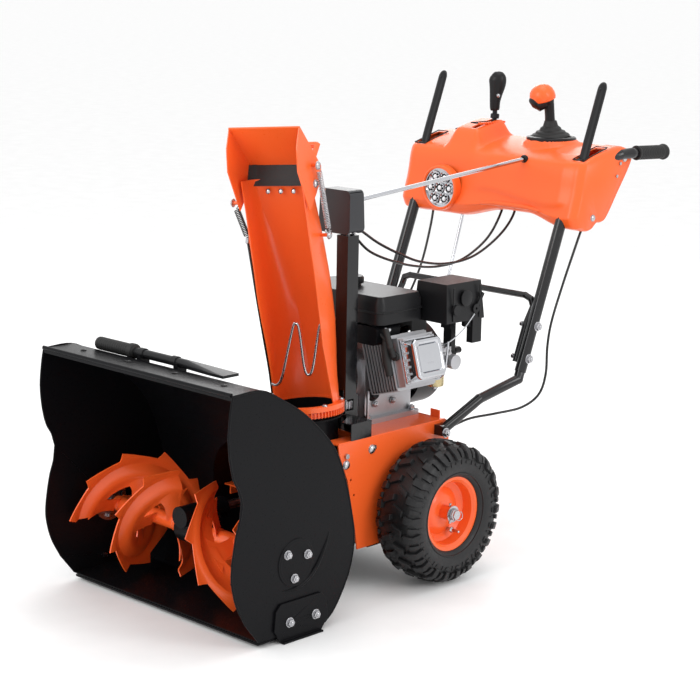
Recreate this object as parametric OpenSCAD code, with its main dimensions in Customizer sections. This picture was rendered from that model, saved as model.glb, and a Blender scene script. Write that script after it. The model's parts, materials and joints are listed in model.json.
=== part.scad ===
// Two stage snowblower. Millimetres, +Z up, the intake faces -Y and the operator stands at +Y.
// Inside the modules the wheel axle is at y = 0 and x = 0 is the middle plane.
// place() shifts the finished pieces so that the origin is the bottom centre of the whole machine.

/* [Intake] */
// Half of the clearing width, to the inside of a side plate
half_w = 308; // [300:1:316]
// Thickness of the side plates
plate_t = 3; // [2:0.5:4]
// Thickness of the wrapped housing sheet
wrap_t = 2.5; // [2:0.5:3]
// Height of the housing's top flange
housing_top = 552; // [540:1:560]
// Height of the auger shaft
auger_z = 167; // [164:1:170]
// Radius at the tips of the auger teeth
auger_r = 146; // [138:1:148]
// Number of teeth along one auger ribbon
auger_teeth = 6; // [4:1:8]

/* [Blower] */
// Radius of the impeller drum, outside
drum_r = 140; // [138:1:141]
// Height of the impeller shaft
impeller_z = 205; // [204:1:206]
// Radius of the impeller blades
impeller_r = 134; // [125:1:135]
// Number of impeller blades
blades = 4; // [3:1:5]

/* [Wheels] */
// Tyre radius
tyre_r = 165; // [163:1:165]
// Tyre width
tyre_w = 122; // [114:1:122]
// Distance from the middle plane to the middle of a tyre
track_half = 256; // [256:1:258]
// Rim radius
rim_r = 87; // [84:1:90]

/* [Chute] */
// How far the chute is turned to the machine's left in the rest pose
chute_turn = 18; // [0:1:30]
// Sideways lean of the chute above its ring
chute_lean = -4.3; // [-6:0.1:0]
// Radius of the spout
spout_r = 70; // [68:1:70]
// Teeth on the chute ring
ring_teeth = 66; // [66:1:66]
// Teeth on the chute pinion
pinion_teeth = 13; // [13:1:13]

/* [Handles] */
// Radius of the handle tubes
tube_r = 14; // [13:0.5:14]
// Half the distance between the upper handle tubes
handle_x = 237; // [234:1:240]
// Half the width of the control panel
panel_x = 285; // [280:1:288]

/* [Hidden] */
$fn = 64;

front_y = -701;
rear_y = 771;
mid_y = (front_y + rear_y) / 2;
run = 0.06;             // radial running clearance of a shaft in its bore
gap = 0.4;              // ordinary clearance
plate_x = half_w + plate_t;

auger_y = -509;
drum_front = -400;
drum_back = -160;
chute_x = 60;
chute_y = -240;
ring_z = 420;
post_x = 90;
post_y = -143;
mesh_d = norm([post_x - chute_x, post_y - chute_y]);
ring_pitch = mesh_d * ring_teeth / (ring_teeth + pinion_teeth);
pinion_pitch = mesh_d - ring_pitch;
mesh_angle = atan2(post_y - chute_y, post_x - chute_x);
ring_r = spout_r + 18;  // flange above the ring gear's teeth
post_w = 17.5;          // half the width of the square post

frame_x = 183;
frame_t = 3;
deck_z = 350;
floor_z = 92;
axle_r = 9.5;
hub_r = 16;
rim_x = track_half + 41;
tyre_half = tyre_w / 2;

crank_z = 456;
belt_gap = 0.4;
belt_t = 8;
belt_w = 10;
pulley_w = 16;
auger_belt_y = -134;
drive_belt_y = -114;
impeller_core = 95;
crank_core_a = 34;
disc_core = 50;
crank_core_d = 28;
disc_z = 240;
disc_face = -78;
wheel_gap = 2;
friction_r = 54;
hex_y = disc_face + wheel_gap + friction_r;
gear_d = norm([hex_y, disc_z - tyre_r]);
axle_teeth = 48;
hex_teeth = 12;
gear_pitch = gear_d * axle_teeth / (axle_teeth + hex_teeth);
hex_pitch = gear_d - gear_pitch;
gear_angle = atan2(disc_z - tyre_r, hex_y);

cyl_tilt = 16;          // the cylinder rises this much from level

// Outline of a side plate, y and z, from the top front corner round the back
plate_outline = [[-690, housing_top], [-611, housing_top], [-552, 524], [-491, 486], [-429, 431],
    [-395, 390], [-371, 340], [-352, 280], [-338, 220], [-334, 180], [-340, 139], [-352, 104],
    [-370, 70], [-394, 36], [-420, 15], [-614, 15], [-652, 62], [-678, 110], [-691, 160], [-690, 200],
    [-680, 255], [-668, 292], [-664, 325], [-672, 352], [-687, 379], [-697, 420], [front_y, 469]];
wrap_path = [for (i = [0:15]) plate_outline[i]];
tool_axis = [-590, 561];  // y and z of the clean-out tool's rod, clipped behind the top flange

// Side outline of the control panel, y and z
panel_outline = [[426, 800], [451, 774], [489, 768], [517, 785], [550, 791], [600, 858], [636, 908],
    [654, 940], [648, 953], [630, 961], [600, 967], [538, 957], [473, 938], [456, 918], [444, 860]];

lever_pivot = [-100, 560, 905];
stick_pivot = [87, 578, 946];
deflector_pivot = [0, -62, 922];
paddle_x = 256;
paddle_pivot = [486, 932];

// Routes of the control cables, from the panel's underside to where each one goes
cable_d = 6;
auger_cable = [[-200, 470, 790], [-198, 455, 730], [-194, 420, 640], [-192, 370, 560],
    [-189, 300, 490], [-190, 210, 430], [-175, 130, 385], [-165, 90, 353]];
drive_cable = [[262, 500, 800], [262, 470, 740], [262, 425, 650], [262, 385, 560], [262, 372, 500],
    [260, 372, 430], [250, 360, 380], [232, 320, 352], [205, 260, 342], [190, 190, 340],
    [186, 150, 335], [180, 113, 325]];
chute_cable = [[60, 470, 782], [56, 420, 735], [56, 330, 697], [60, 230, 690], [66, 130, 705],
    [73, 50, 732], [80, -30, 766], [87, -88, 797], [91, -117, 813]];
deflect_cable = [[20, 470, 782], [16, 425, 725], [14, 340, 684], [18, 240, 676], [28, 140, 690],
    [39, 50, 714], [51, -30, 744], [66, -88, 780], [77, -117, 803]];

/* ---------- helpers ---------- */

module place() {
    translate([0, -mid_y, 0]) children();
}

// Cylinders along an axis from a to b, centred on the other two coordinates
module xcyl(r, a, b, y = 0, z = 0) {
    translate([a, y, z]) rotate([0, 90, 0]) cylinder(r = r, h = b - a);
}

module ycyl(r, a, b, x = 0, z = 0) {
    translate([x, b, z]) rotate([90, 0, 0]) cylinder(r = r, h = b - a);
}

module zcyl(r, a, b, x = 0, y = 0) {
    translate([x, y, a]) cylinder(r = r, h = b - a);
}

// A block given by its low and high corners
module block(a, b) {
    translate(a) cube(b - a);
}

// A round bar from point a to point b
module bar(a, b, r) {
    v = b - a;
    translate(a) rotate([0, acos(v[2] / norm(v)), atan2(v[1], v[0])]) cylinder(r = r, h = norm(v));
}

// A bent bar through the points p
module bent(p, r) {
    for (i = [0:len(p) - 2]) bar(p[i], p[i + 1], r);
    for (i = [1:1:len(p) - 2]) translate(p[i]) sphere(r = r + 0.4);
}

// A y-z outline extruded along x from a to b
module yz_plate(points, a, b) {
    translate([a, 0, 0]) rotate([90, 0, 90]) linear_extrude(height = b - a) polygon(points);
}

// An x-z outline extruded along y from a to b
module xz_plate(a, b) {
    translate([0, b, 0]) rotate([90, 0, 0]) linear_extrude(height = b - a) children();
}

function unit(v) = v / norm(v);
function left_of(v) = [-v[1], v[0]];
function path_normal(p, i) =
    i == 0 ? left_of(unit(p[1] - p[0])) :
    i == len(p) - 1 ? left_of(unit(p[i] - p[i - 1])) :
    unit(left_of(unit(p[i] - p[i - 1])) + left_of(unit(p[i + 1] - p[i])));
// A strip of thickness t on the right-hand side of the path p
function strip(p, t) = concat(p, [for (i = [len(p) - 1:-1:0]) p[i] - t * path_normal(p, i)]);

// Swept tube with flat ends: rings of n sides at every point of a smoothed route
function mix(a, b, t) = a + (b - a) * t;
function spline_point(p, i, t) =
    let (a = p[max(i - 1, 0)], b = p[i], c = p[i + 1], d = p[min(i + 2, len(p) - 1)])
    0.5 * (2 * b + (c - a) * t + (2 * a - 5 * b + 4 * c - d) * t * t + (3 * b - a - 3 * c + d) * t * t * t);
function smooth(p, n) = concat([for (i = [0:len(p) - 2]) for (k = [0:n - 1]) spline_point(p, i, k / n)],
    [p[len(p) - 1]]);
function tangent(p, i) = unit(p[min(i + 1, len(p) - 1)] - p[max(i - 1, 0)]);
function side_of(t) = unit(cross(t, abs(t[0]) > 0.9 ? [0, 1, 0] : [1, 0, 0]));

module swept(p, r, n = 8) {
    last = len(p) - 1;
    points = [for (i = [0:last]) let (t = tangent(p, i), a = side_of(t), b = cross(t, a))
        for (k = [0:n - 1]) p[i] + r * (cos(360 * k / n) * a + sin(360 * k / n) * b)];
    sides = [for (i = [0:last - 1]) for (k = [0:n - 1]) let (m = (k + 1) % n)
        [i * n + k, (i + 1) * n + k, (i + 1) * n + m, i * n + m]];
    polyhedron(points, concat([[for (k = [0:n - 1]) k]], sides,
        [[for (k = [n - 1:-1:0]) last * n + k]]), convexity = 6);
}

// Outline round two circles on the z axis, for belts and their cover
module belt_outline(z1, r1, z2, r2) {
    s = (r2 - r1) / (z1 - z2);
    c = sqrt(1 - s * s);
    translate([0, z1]) circle(r = r1);
    translate([0, z2]) circle(r = r2);
    polygon([[r2 * c, z2 + r2 * s], [r1 * c, z1 + r1 * s], [-r1 * c, z1 + r1 * s], [-r2 * c, z2 + r2 * s]]);
}

// Spur gear with straight-sided teeth; at turn 0 a tooth points along +x
module gear(teeth, pitch_r, h, turn = 0) {
    m = 2 * pitch_r / teeth;
    root = pitch_r - 1.15 * m;
    tip = pitch_r + 0.85 * m;
    linear_extrude(height = h) {
        circle(r = root);
        for (i = [0:teeth - 1]) rotate(turn + 360 * i / teeth)
            polygon([[root - 1, -0.8 * m], [tip, -0.3 * m], [tip, 0.3 * m], [root - 1, 0.8 * m]]);
    }
}

// V-belt pulley along y, centred on y
module pulley(y, x, z, core) {
    cheek = (pulley_w - belt_w - 2 * belt_gap) / 2;
    ycyl(core, y - pulley_w / 2, y + pulley_w / 2, x, z);
    for (s = [-1, 1]) ycyl(core + belt_t + 2, y + s * (pulley_w - cheek) / 2 - cheek / 2,
        y + s * (pulley_w - cheek) / 2 + cheek / 2, x, z);
}

// Hexagon-headed bolt along x: head outside at x, shank going inwards
module bolt_x(x, y, z, s, shank) {
    xcyl_n(6.5, x, x + s * 5, y, z, 6);
    xcyl(4, min(x, x - s * shank), max(x, x - s * shank), y, z);
    xcyl_n(6.5, x - s * shank, x - s * (shank - 6), y, z, 6);
}

module xcyl_n(r, a, b, y, z, n) {
    translate([min(a, b), y, z]) rotate([0, 90, 0]) cylinder(r = r, h = abs(b - a), $fn = n);
}

module chute_frame() {
    translate([chute_x, chute_y, ring_z]) rotate([0, 0, chute_turn]) rotate([0, chute_lean, 0])
        translate([0, 0, -ring_z]) children();
}

/* ---------- intake ---------- */

module auger_housing() {
    color([0.05, 0.05, 0.055]) difference() {
        union() {
            yz_plate(strip(wrap_path, wrap_t), -half_w + 0.1, half_w - 0.1);
            yz_plate([[-690, housing_top], [-690, 541], [-687.5, 541], [-687.5, housing_top]],
                -half_w + 0.1, half_w - 0.1);
            for (x = [-94, 28])
                yz_plate([[-603, 546.5], [-577, 534], [-577, 561], [-603, 561]], x, x + 14);
        }
        ycyl(drum_r - 2.5, drum_front, drum_front + 120, 0, impeller_z);
        xcyl(10 + gap, -110, 50, tool_axis[0], tool_axis[1]);
    }
}

module side_plates() {
    color([0.05, 0.05, 0.055]) for (s = [-1, 1]) difference() {
        union() {
            yz_plate(plate_outline, min(s * half_w, s * plate_x), max(s * half_w, s * plate_x));
            mirror([s < 0 ? 1 : 0, 0, 0]) xcyl(52, plate_x, plate_x + 2, auger_y, auger_z);
        }
        for (p = bearing_bolts) xcyl(4.3, -340, 340, p[0], p[1]);
        for (p = shoe_bolts) xcyl(4.3, -340, 340, p[0], p[1]);
    }
}

bearing_bolts = [for (a = [15, 135, 255]) [auger_y + 34 * cos(a + 5), auger_z + 34 * sin(a + 5)]];
shoe_bolts = [[-530, 41], [-454, 41]];
handle_bolts = [[68, 328], [317, 474], [346, 549]];

module impeller_drum() {
    color([0.06, 0.06, 0.065]) difference() {
        union() {
            ycyl(drum_r, drum_front, drum_back, 0, impeller_z);
            chute_frame() {
                zcyl(spout_r, impeller_z + 20, 421);
                zcyl(spout_r + 12, 390, 394);
            }
        }
        ycyl(drum_r - 2.5, drum_front - 1, drum_back - 3, 0, impeller_z);
        chute_frame() zcyl(spout_r - 2.5, impeller_z + 40, 430);
        yz_plate(concat([[-700, 15]], [for (i = [15:-1:0]) wrap_path[i]]), -half_w, half_w);
        ycyl(18 + gap, drum_back - 5, drum_back + 5, 0, impeller_z);
    }
}

module scraper_bar() {
    color([0.07, 0.07, 0.075]) difference() {
        block([-half_w + 2, -612, 7], [half_w - 2, -545, 12]);
        for (x = [-240, -80, 80, 240]) zcyl(4.3, 0, 20, x, -580);
    }
}

module skid_shoes() {
    shoe = [[-574, 30], [-554, 0], [-438, 0], [-416, 28], [-424, 72], [-438, 86], [-556, 86], [-570, 72]];
    color([0.05, 0.05, 0.055]) for (s = [-1, 1]) difference() {
        union() {
            mirror([s < 0 ? 1 : 0, 0, 0]) {
                yz_plate(shoe, plate_x + 0.1, plate_x + 5);
                block([plate_x + 0.1, -554, 0], [325, -438, 4]);
            }
        }
        for (p = shoe_bolts) xcyl(4.3, -340, 340, p[0], p[1]);
    }
}

// Flange bearings of the auger shaft, the impeller shaft, the axle, the hex shaft and the friction disc
module shaft_bearings() {
    color([0.6, 0.6, 0.62]) {
        for (s = [-1, 1]) {
            difference() {
                union() {
                    mirror([s < 0 ? 1 : 0, 0, 0]) xcyl(46, half_w - 4, half_w - 0.1, auger_y, auger_z);
                    xcyl(18, min(s * 285, s * 305), max(s * 285, s * 305), auger_y, auger_z);
                }
                xcyl(10 + run, min(s * 280, s * 303), max(s * 280, s * 303), auger_y, auger_z);
                for (p = bearing_bolts) xcyl(4.3, -340, 340, p[0], p[1]);
            }
            difference() {
                union() {
                    xcyl(13.9, min(s * 176, s * 187), max(s * 176, s * 187), 0, tyre_r);
                    xcyl(22, min(s * 183.1, s * 187), max(s * 183.1, s * 187), 0, tyre_r);
                }
                xcyl(axle_r + run, -200, 200, 0, tyre_r);
            }
            difference() {
                union() {
                    xcyl(11.9, min(s * 176, s * 186), max(s * 176, s * 186), hex_y, disc_z);
                    xcyl(17, min(s * 183.1, s * 186), max(s * 183.1, s * 186), hex_y, disc_z);
                }
                xcyl(7 + run, -200, 200, hex_y, disc_z);
            }
        }
        difference() {
            union() {
                ycyl(40, drum_back + 0.1, drum_back + 4, 0, impeller_z);
                ycyl(18, drum_back - 3, drum_back + 14, 0, impeller_z);
            }
            ycyl(10 + run, drum_back - 20, drum_back + 20, 0, impeller_z);
        }
        difference() {
            union() {
                ycyl(26, -98.9, -95, 0, disc_z);
                ycyl(15.9, -102.5, -90, 0, disc_z);
            }
            ycyl(8 + run, -110, -80, 0, disc_z);
        }
    }
}

module frame_bolts() {
    color([0.78, 0.78, 0.8]) for (s = [-1, 1]) {
        for (p = bearing_bolts) bolt_x(s * (plate_x + 2.1), p[0], p[1], s, 16);
        for (p = shoe_bolts) bolt_x(s * (plate_x + 5.1), p[0], p[1], s, 18);
        for (p = [[-232, 320], [-145, 326]]) bolt_x(s * (frame_x + 0.1), p[0], p[1], s, 14);
        bolt_x(s * 210.8, handle_bolts[0][0], handle_bolts[0][1], s, 38);
        for (i = [1, 2]) bolt_x(s * (handle_x + tube_r + 0.2), handle_bolts[i][0], handle_bolts[i][1], s, 52);
        for (p = [[600, 925], [588, 895]]) xcyl(4, min(s * (panel_x + 0.1), s * (panel_x + 2)),
            max(s * (panel_x + 0.1), s * (panel_x + 2)), p[0], p[1]);
    }
}

module auger_gearbox() {
    color([0.06, 0.06, 0.065]) difference() {
        union() {
            xcyl(34, -42, 42, auger_y, auger_z);
            ycyl(24, -562, -436, 0, impeller_z);
            xcyl(20, -50, 50, auger_y, auger_z);
            block([-38, -543, 178], [38, -475, 206]);
        }
        xcyl(29, -36, 36, auger_y, auger_z);
        ycyl(17, -556, -446, 0, impeller_z);
        xcyl(10 + run, -60, 60, auger_y, auger_z);
        ycyl(10 + run, -450, -430, 0, impeller_z);
    }
    color([0.78, 0.78, 0.8]) for (x = [-28, 28], y = [-533, -485]) translate([x, y, 206])
        cylinder(r = 5, h = 4, $fn = 6);
}

// One serrated auger ribbon from x = a to x = b, turning through sweep degrees from start
module ribbon(a, b, start, sweep) {
    n = auger_teeth * 6;
    inner = 66;
    th = 3;
    function tooth(i) = let (k = i % 6) [0, 6, 12, 17, 20, 6][k];
    function ring_points(i) = let (t = i / n, x = a + (b - a) * t, g = start + sweep * t,
        r = auger_r - 20 + tooth(i), c = cos(g), s = sin(g))
        [[x - th / 2, inner * c, inner * s], [x - th / 2, r * c, r * s],
         [x + th / 2, r * c, r * s], [x + th / 2, inner * c, inner * s]];
    points = [for (i = [0:n]) each ring_points(i)];
    faces = [for (i = [0:n - 1]) for (k = [0:3]) let (m = (k + 1) % 4, q = i * 4)
        each [[q + k, q + m, q + 4 + m], [q + k, q + 4 + m, q + 4 + k]]];
    ends = [[0, 3, 2], [0, 2, 1], [n * 4, n * 4 + 1, n * 4 + 2], [n * 4, n * 4 + 2, n * 4 + 3]];
    translate([0, auger_y, auger_z]) polyhedron(points, concat(faces, ends), convexity = 8);
}

// Arm from the auger tube to a ribbon at position x and angle g
module auger_arm(x, g) {
    translate([x, auger_y, auger_z]) rotate([g, 0, 0]) block([-3, 13, -16], [3, 82, 16]);
}

module auger_half() {
    x0 = 58;
    x1 = 280;
    start = 20;
    sweep = 240;
    difference() {
        union() {
            xcyl(17, x0 - 6, x1, auger_y, auger_z);
            for (k = [0, 180]) {
                ribbon(x0, x1, k + start, sweep);
                for (t = [0.06, 0.5, 0.94]) auger_arm(mix(x0, x1, t), k + start + sweep * t);
            }
        }
        xcyl(10 + gap / 4, -300, 300, auger_y, auger_z);
        ycyl(4.2, auger_y - 40, auger_y + 40, 200, auger_z);
    }
}

module auger_left() {
    color([1, 0.36, 0.1]) auger_half();
}

module auger_right() {
    color([1, 0.36, 0.1]) mirror([1, 0, 0]) auger_half();
}

module auger_shaft() {
    color([0.6, 0.6, 0.62]) difference() {
        union() {
            xcyl(10, -300, 300, auger_y, auger_z);
            xcyl(24, -14, 14, auger_y, auger_z);
        }
        for (x = [-200, 200]) ycyl(4.2, auger_y - 20, auger_y + 20, x, auger_z);
    }
}

module shear_bolts() {
    color([0.8, 0.8, 0.82]) for (x = [-200, 200]) {
        ycyl(4, auger_y - 24, auger_y + 24, x, auger_z);
        translate([x, auger_y - 24, auger_z]) rotate([90, 0, 0]) cylinder(r = 6.5, h = 5, $fn = 6);
        translate([x, auger_y + 28, auger_z]) rotate([90, 0, 0]) cylinder(r = 6.5, h = 5, $fn = 6);
    }
}

/* ---------- blower and drive ---------- */

module impeller() {
    color([0.9, 0.3, 0.08]) difference() {
        union() {
            ycyl(24, -320, -190, 0, impeller_z);
            for (k = [0:blades - 1]) translate([0, 0, impeller_z]) rotate([0, 360 * k / blades, 0]) {
                block([20, -310, -2], [impeller_r, -195, 2]);
                block([impeller_r - 22, -310, -2], [impeller_r - 18, -195, 20]);
            }
        }
        ycyl(10 + gap / 4, -400, -100, 0, impeller_z);
    }
}

module impeller_shaft() {
    color([0.6, 0.6, 0.62]) {
        ycyl(10, -552, -125, 0, impeller_z);
        ycyl(13.6, auger_y - 30, auger_y + 30, 0, impeller_z);
        difference() {
            pulley(auger_belt_y, 0, impeller_z, impeller_core);
            for (k = [0:4]) translate([62 * cos(72 * k), 0, impeller_z + 62 * sin(72 * k)])
                ycyl(20, auger_belt_y - 20, auger_belt_y + 20);
        }
    }
}

module crankshaft() {
    color([0.6, 0.6, 0.62]) {
        ycyl(12.5, -145, -60, 0, crank_z);
        pulley(auger_belt_y, 0, crank_z, crank_core_a);
        pulley(drive_belt_y, 0, crank_z, crank_core_d);
    }
}

module drive_belts() {
    color([0.04, 0.04, 0.04]) {
        belt(auger_belt_y, crank_core_a, impeller_z, impeller_core);
        belt(drive_belt_y, crank_core_d, disc_z, disc_core);
    }
}

module belt(y, small_core, z2, big_core) {
    xz_plate(y - belt_w / 2, y + belt_w / 2) difference() {
        belt_outline(crank_z, small_core + belt_gap + belt_t, z2, big_core + belt_gap + belt_t);
        belt_outline(crank_z, small_core + belt_gap, z2, big_core + belt_gap);
    }
}

module friction_disc() {
    color([0.55, 0.55, 0.57]) {
        ycyl(8, -122, disc_face - 8, 0, disc_z);
        ycyl(75, disc_face - 8, disc_face, 0, disc_z);
        pulley(drive_belt_y, 0, disc_z, disc_core);
    }
}

module hex_shaft() {
    color([0.6, 0.6, 0.62]) {
        translate([-150, hex_y, disc_z]) rotate([0, 90, 0]) cylinder(r = 9, h = 300, $fn = 6);
        xcyl(7, -182, 182, hex_y, disc_z);
        translate([120, hex_y, disc_z]) rotate([90, 0, 90]) rotate(gear_angle + 180)
            gear(hex_teeth, hex_pitch, 16, 180 / hex_teeth);
    }
}

module friction_wheel() {
    color([0.08, 0.08, 0.08]) difference() {
        union() {
            xcyl(friction_r, -6, 6, hex_y, disc_z);
            xcyl(18, -16, 16, hex_y, disc_z);
        }
        translate([-30, hex_y, disc_z]) rotate([0, 90, 0]) cylinder(r = 9.1, h = 60, $fn = 6);
    }
}

module axle() {
    color([0.6, 0.6, 0.62]) {
        difference() {
            xcyl(axle_r, -rim_x - 13, rim_x + 13, 0, tyre_r);
            for (s = [-1, 1]) zcyl(3.2, tyre_r - 20, tyre_r + 20, s * (track_half + 35), 0);
        }
        translate([120, 0, tyre_r]) rotate([90, 0, 90]) rotate(gear_angle) difference() {
            gear(axle_teeth, gear_pitch, 16);
            for (k = [0:5]) rotate(60 * k) translate([38, 0, -1]) cylinder(r = 11, h = 30);
        }
        xcyl(18, 112, 144, 0, tyre_r);
    }
}

// Half section of a rim, radius and x from the wheel's middle plane outwards
rim_section = [[rim_r - 6, -44], [rim_r, -44], [rim_r, -38], [rim_r - 9, -34], [rim_r - 9, 30],
    [rim_r, 36], [rim_r, 42], [rim_r - 7, 42], [rim_r - 13, 36], [rim_r - 16, 12], [56, 4],
    [36, 16], [hub_r, 16], [hub_r, 13], [35, 13], [55, 1], [rim_r - 13, 8], [rim_r - 12, -34]];

module wheel_rims() {
    color([1, 0.36, 0.1]) for (s = [0, 1]) mirror([s, 0, 0]) translate([track_half, 0, tyre_r])
        difference() {
            union() {
                rotate([0, 90, 0]) rotate_extrude() polygon(rim_section);
                xcyl(hub_r, -50, 40);
            }
            xcyl(axle_r + 0.1, -80, 80);
            zcyl(3.2, -40, 40, 35, 0);
        }
}

module tyres() {
    w = tyre_half;
    r = tyre_r;
    section = [[rim_r + 0.1, -37], [rim_r + 0.1, -44], [rim_r + 8, -50], [118, -w], [140, -w],
        [r - 8, -w + 9], [r, -w + 18], [r, w - 18], [r - 8, w - 9], [140, w], [118, w],
        [rim_r + 8, 50], [rim_r + 0.1, 44], [rim_r + 0.1, 37], [rim_r + 8, 32], [112, w - 12],
        [r - 24, w - 14], [r - 18, 0], [r - 24, -w + 14], [112, -w + 12], [rim_r + 8, -32]];
    color([0.05, 0.05, 0.055]) for (s = [-1, 1]) translate([s * track_half, 0, tyre_r])
        rotate([0, 90, 0]) rotate_extrude($fn = 96) polygon(section);
}

module hub_pins() {
    color([0.8, 0.8, 0.82]) for (s = [-1, 1]) {
        zcyl(3, tyre_r - 24, tyre_r + 24, s * (track_half + 35), 0);
        difference() {
            mirror([s < 0 ? 1 : 0, 0, 0]) xcyl(15, rim_x + 0.2, rim_x + 2, 0, tyre_r);
            xcyl(axle_r + 0.2, -400, 400, 0, tyre_r);
        }
    }
}

module idler_arm() {
    color([0.55, 0.55, 0.57]) {
        difference() {
            union() {
                bar([-118, -147, 285], [-118, -144, 285], 9);
                bar([-103, -147, 325], [-103, -144, 325], 8);
                translate([-110.5, -145.5, 305]) rotate([0, atan2(15, 40), 0])
                    cube([12, 3, 42], center = true);
            }
            ycyl(5 + run, -160, -120, -118, 285);
        }
        ycyl(5, -147, -141, -103, 325);
        ycyl(16, -141, -127, -103, 325);
    }
}

/* ---------- frame ---------- */

frame_side = [[-258, deck_z], [-254, 327], [-227, 264], [-213, 203], [-199, 142], [-192, floor_z + 3],
    [104, floor_z + 3], [112, 112], [112, 330], [100, deck_z]];

module frame() {
    color([1, 0.36, 0.1]) difference() {
        union() {
            for (s = [-1, 1]) yz_plate(frame_side, min(s * (frame_x - frame_t), s * frame_x),
                max(s * (frame_x - frame_t), s * frame_x));
            block([-frame_x, -258, deck_z - frame_t], [frame_x, 102, deck_z]);
            block([-frame_x, -157, floor_z + 3], [frame_x, -154, deck_z]);
            block([-frame_x, -102, 150], [frame_x, -99, deck_z]);
            block([-frame_x, 109, 112], [frame_x, 112, 330]);
            ycyl(5, -155, -142, -118, 285);
            for (s = [-1, 1]) block([s * 150 - 14, 98, deck_z - 1], [s * 150 + 14, 101, 368]);
        }
        block([-86, -150, deck_z - 10], [86, -98, deck_z + 10]);
        block([-86, -110, 290], [86, -90, deck_z + 10]);
        block([-86, -300, deck_z - 10], [140, -158, deck_z + 10]);
        ycyl(spout_r + 90, -300, -158, 0, impeller_z - 10);
        ycyl(44, -170, -140, 0, impeller_z);
        ycyl(16, -110, -90, 0, disc_z);
        xcyl(14, -200, 200, 0, tyre_r);
        xcyl(12, -200, 200, hex_y, disc_z);
        for (p = [[-232, 320], [-145, 326], [68, 328]]) xcyl(4.3, -200, 200, p[0], p[1]);
        for (p = [[-216, 262], [-205, 225]]) xcyl(3, -200, 200, p[0], p[1]);
    }
}

module bottom_cover() {
    color([0.06, 0.06, 0.065]) block([-frame_x, -158, floor_z], [frame_x, 108, floor_z + 2.5]);
}

module belt_cover() {
    color([0.07, 0.07, 0.075]) difference() {
        xz_plate(-151, -96) belt_outline(crank_z, 52, impeller_z, 113);
        xz_plate(-148, -90) belt_outline(crank_z, 49, impeller_z, 110);
        block([-200, -200, 0], [200, 0, deck_z + 0.2]);
    }
}

/* ---------- chute drive ---------- */

module chute_post() {
    w = post_w;
    back = post_y + w + 5;
    color([0.05, 0.05, 0.055]) difference() {
        union() {
            block([40, -217, deck_z + 0.1], [frame_x, -152, 390]);
            block([84, -155, deck_z + 0.1], [post_x + w, back, 390]);
            block([post_x - w, post_y - w, 386], [post_x + w, post_y + w, 798]);
            block([post_x - w, post_y + w - 2.5, 386], [post_x + w, back, 432]);
        }
        block([43, -230, deck_z - 5], [frame_x - 3, -155, 387]);
        block([post_x - w + 2.5, post_y - w + 2.5, 389], [post_x + w - 2.5, post_y + w - 2.5, 850]);
        chute_frame() zcyl(ring_r + 3, deck_z - 20, 440);
        block([post_x - w - 1, post_y - w - 1, 397], [post_x + w + 1, post_y, 423]);
        zcyl(pinion_pitch + 3, 397, 423, post_x, post_y);
        zcyl(5 + run, 380, 392, post_x, post_y);
    }
}

module chute_gear_cover() {
    hole = post_w + 0.2;
    color([0.16, 0.16, 0.18]) difference() {
        hull() for (x = [34, 104]) {
            ycyl(14, -167, -119, x, 816, $fn = 32);
            ycyl(12, -165, -121, x, 888, $fn = 32);
        }
        block([24, -163, 802.5], [114, -123, 896]);
        block([post_x - hole, post_y - hole, 790], [post_x + hole, post_y + hole, 810]);
        ycyl(9, -130, -110, post_x, 873);
    }
}

module chute_drive() {
    color([0.6, 0.6, 0.62]) {
        zcyl(5, 388, 842, post_x, post_y);
        translate([post_x, post_y, 400]) rotate([0, 0, mesh_angle + 180])
            gear(pinion_teeth, pinion_pitch - 2.1, 16.4, 180 / pinion_teeth);
        zcyl(18, 836, 842, post_x, post_y);
    }
}

rod_a = [post_x, -133, 872];
rod_b = [104, 436, 928];
rod_dir = unit(rod_b - rod_a);

module control_rod() {
    color([0.8, 0.8, 0.82]) {
        bar(rod_a - 22 * rod_dir, rod_b + 40 * rod_dir, 5);
        bar(rod_a - 22 * rod_dir, rod_a - 14 * rod_dir, 16);
    }
}

/* ---------- chute ---------- */

// Chute section by height: z, back of the back wall, back and front of the side walls, roundness
chute_rows = [[419, 76, 0, -6, 1], [450, 76, 0, -14, 1], [500, 75, 10, -24, 0.8], [560, 71, 20, -38, 0.4],
    [610, 64, 24, -48, 0.1], [660, 53, 20, -57, 0], [720, 36, 12, -65, 0], [786, 13, -4, -76, 0],
    [860, -16, -26, -87, 0], [931, -44, -52, -100, 0]];
chute_half = 76;
back_half = 48;
arc_steps = 12;

// Corner outline of a row, from the front of one side wall round the back to the other
function fold_point(row, u) =
    let (f = [[-chute_half, row[3]], [-chute_half, row[2]], [-back_half, row[1]],
        [back_half, row[1]], [chute_half, row[2]], [chute_half, row[3]]],
        w = u * 5, i = min(floor(w), 4)) mix(f[i], f[i + 1], w - i);
function arc_point(row, u) =
    let (dip = asin(min(1, -row[3] / chute_half)), a = 180 + dip - u * (180 + 2 * dip))
    chute_half * [cos(a), sin(a)];
function row_point(row, u, d) =
    let (q = mix(fold_point(row, u), arc_point(row, u), row[4]), c = unit(q - [0, row[1] - chute_half]))
    [q[0] + d * c[0], q[1] + d * c[1], row[0]];

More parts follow.
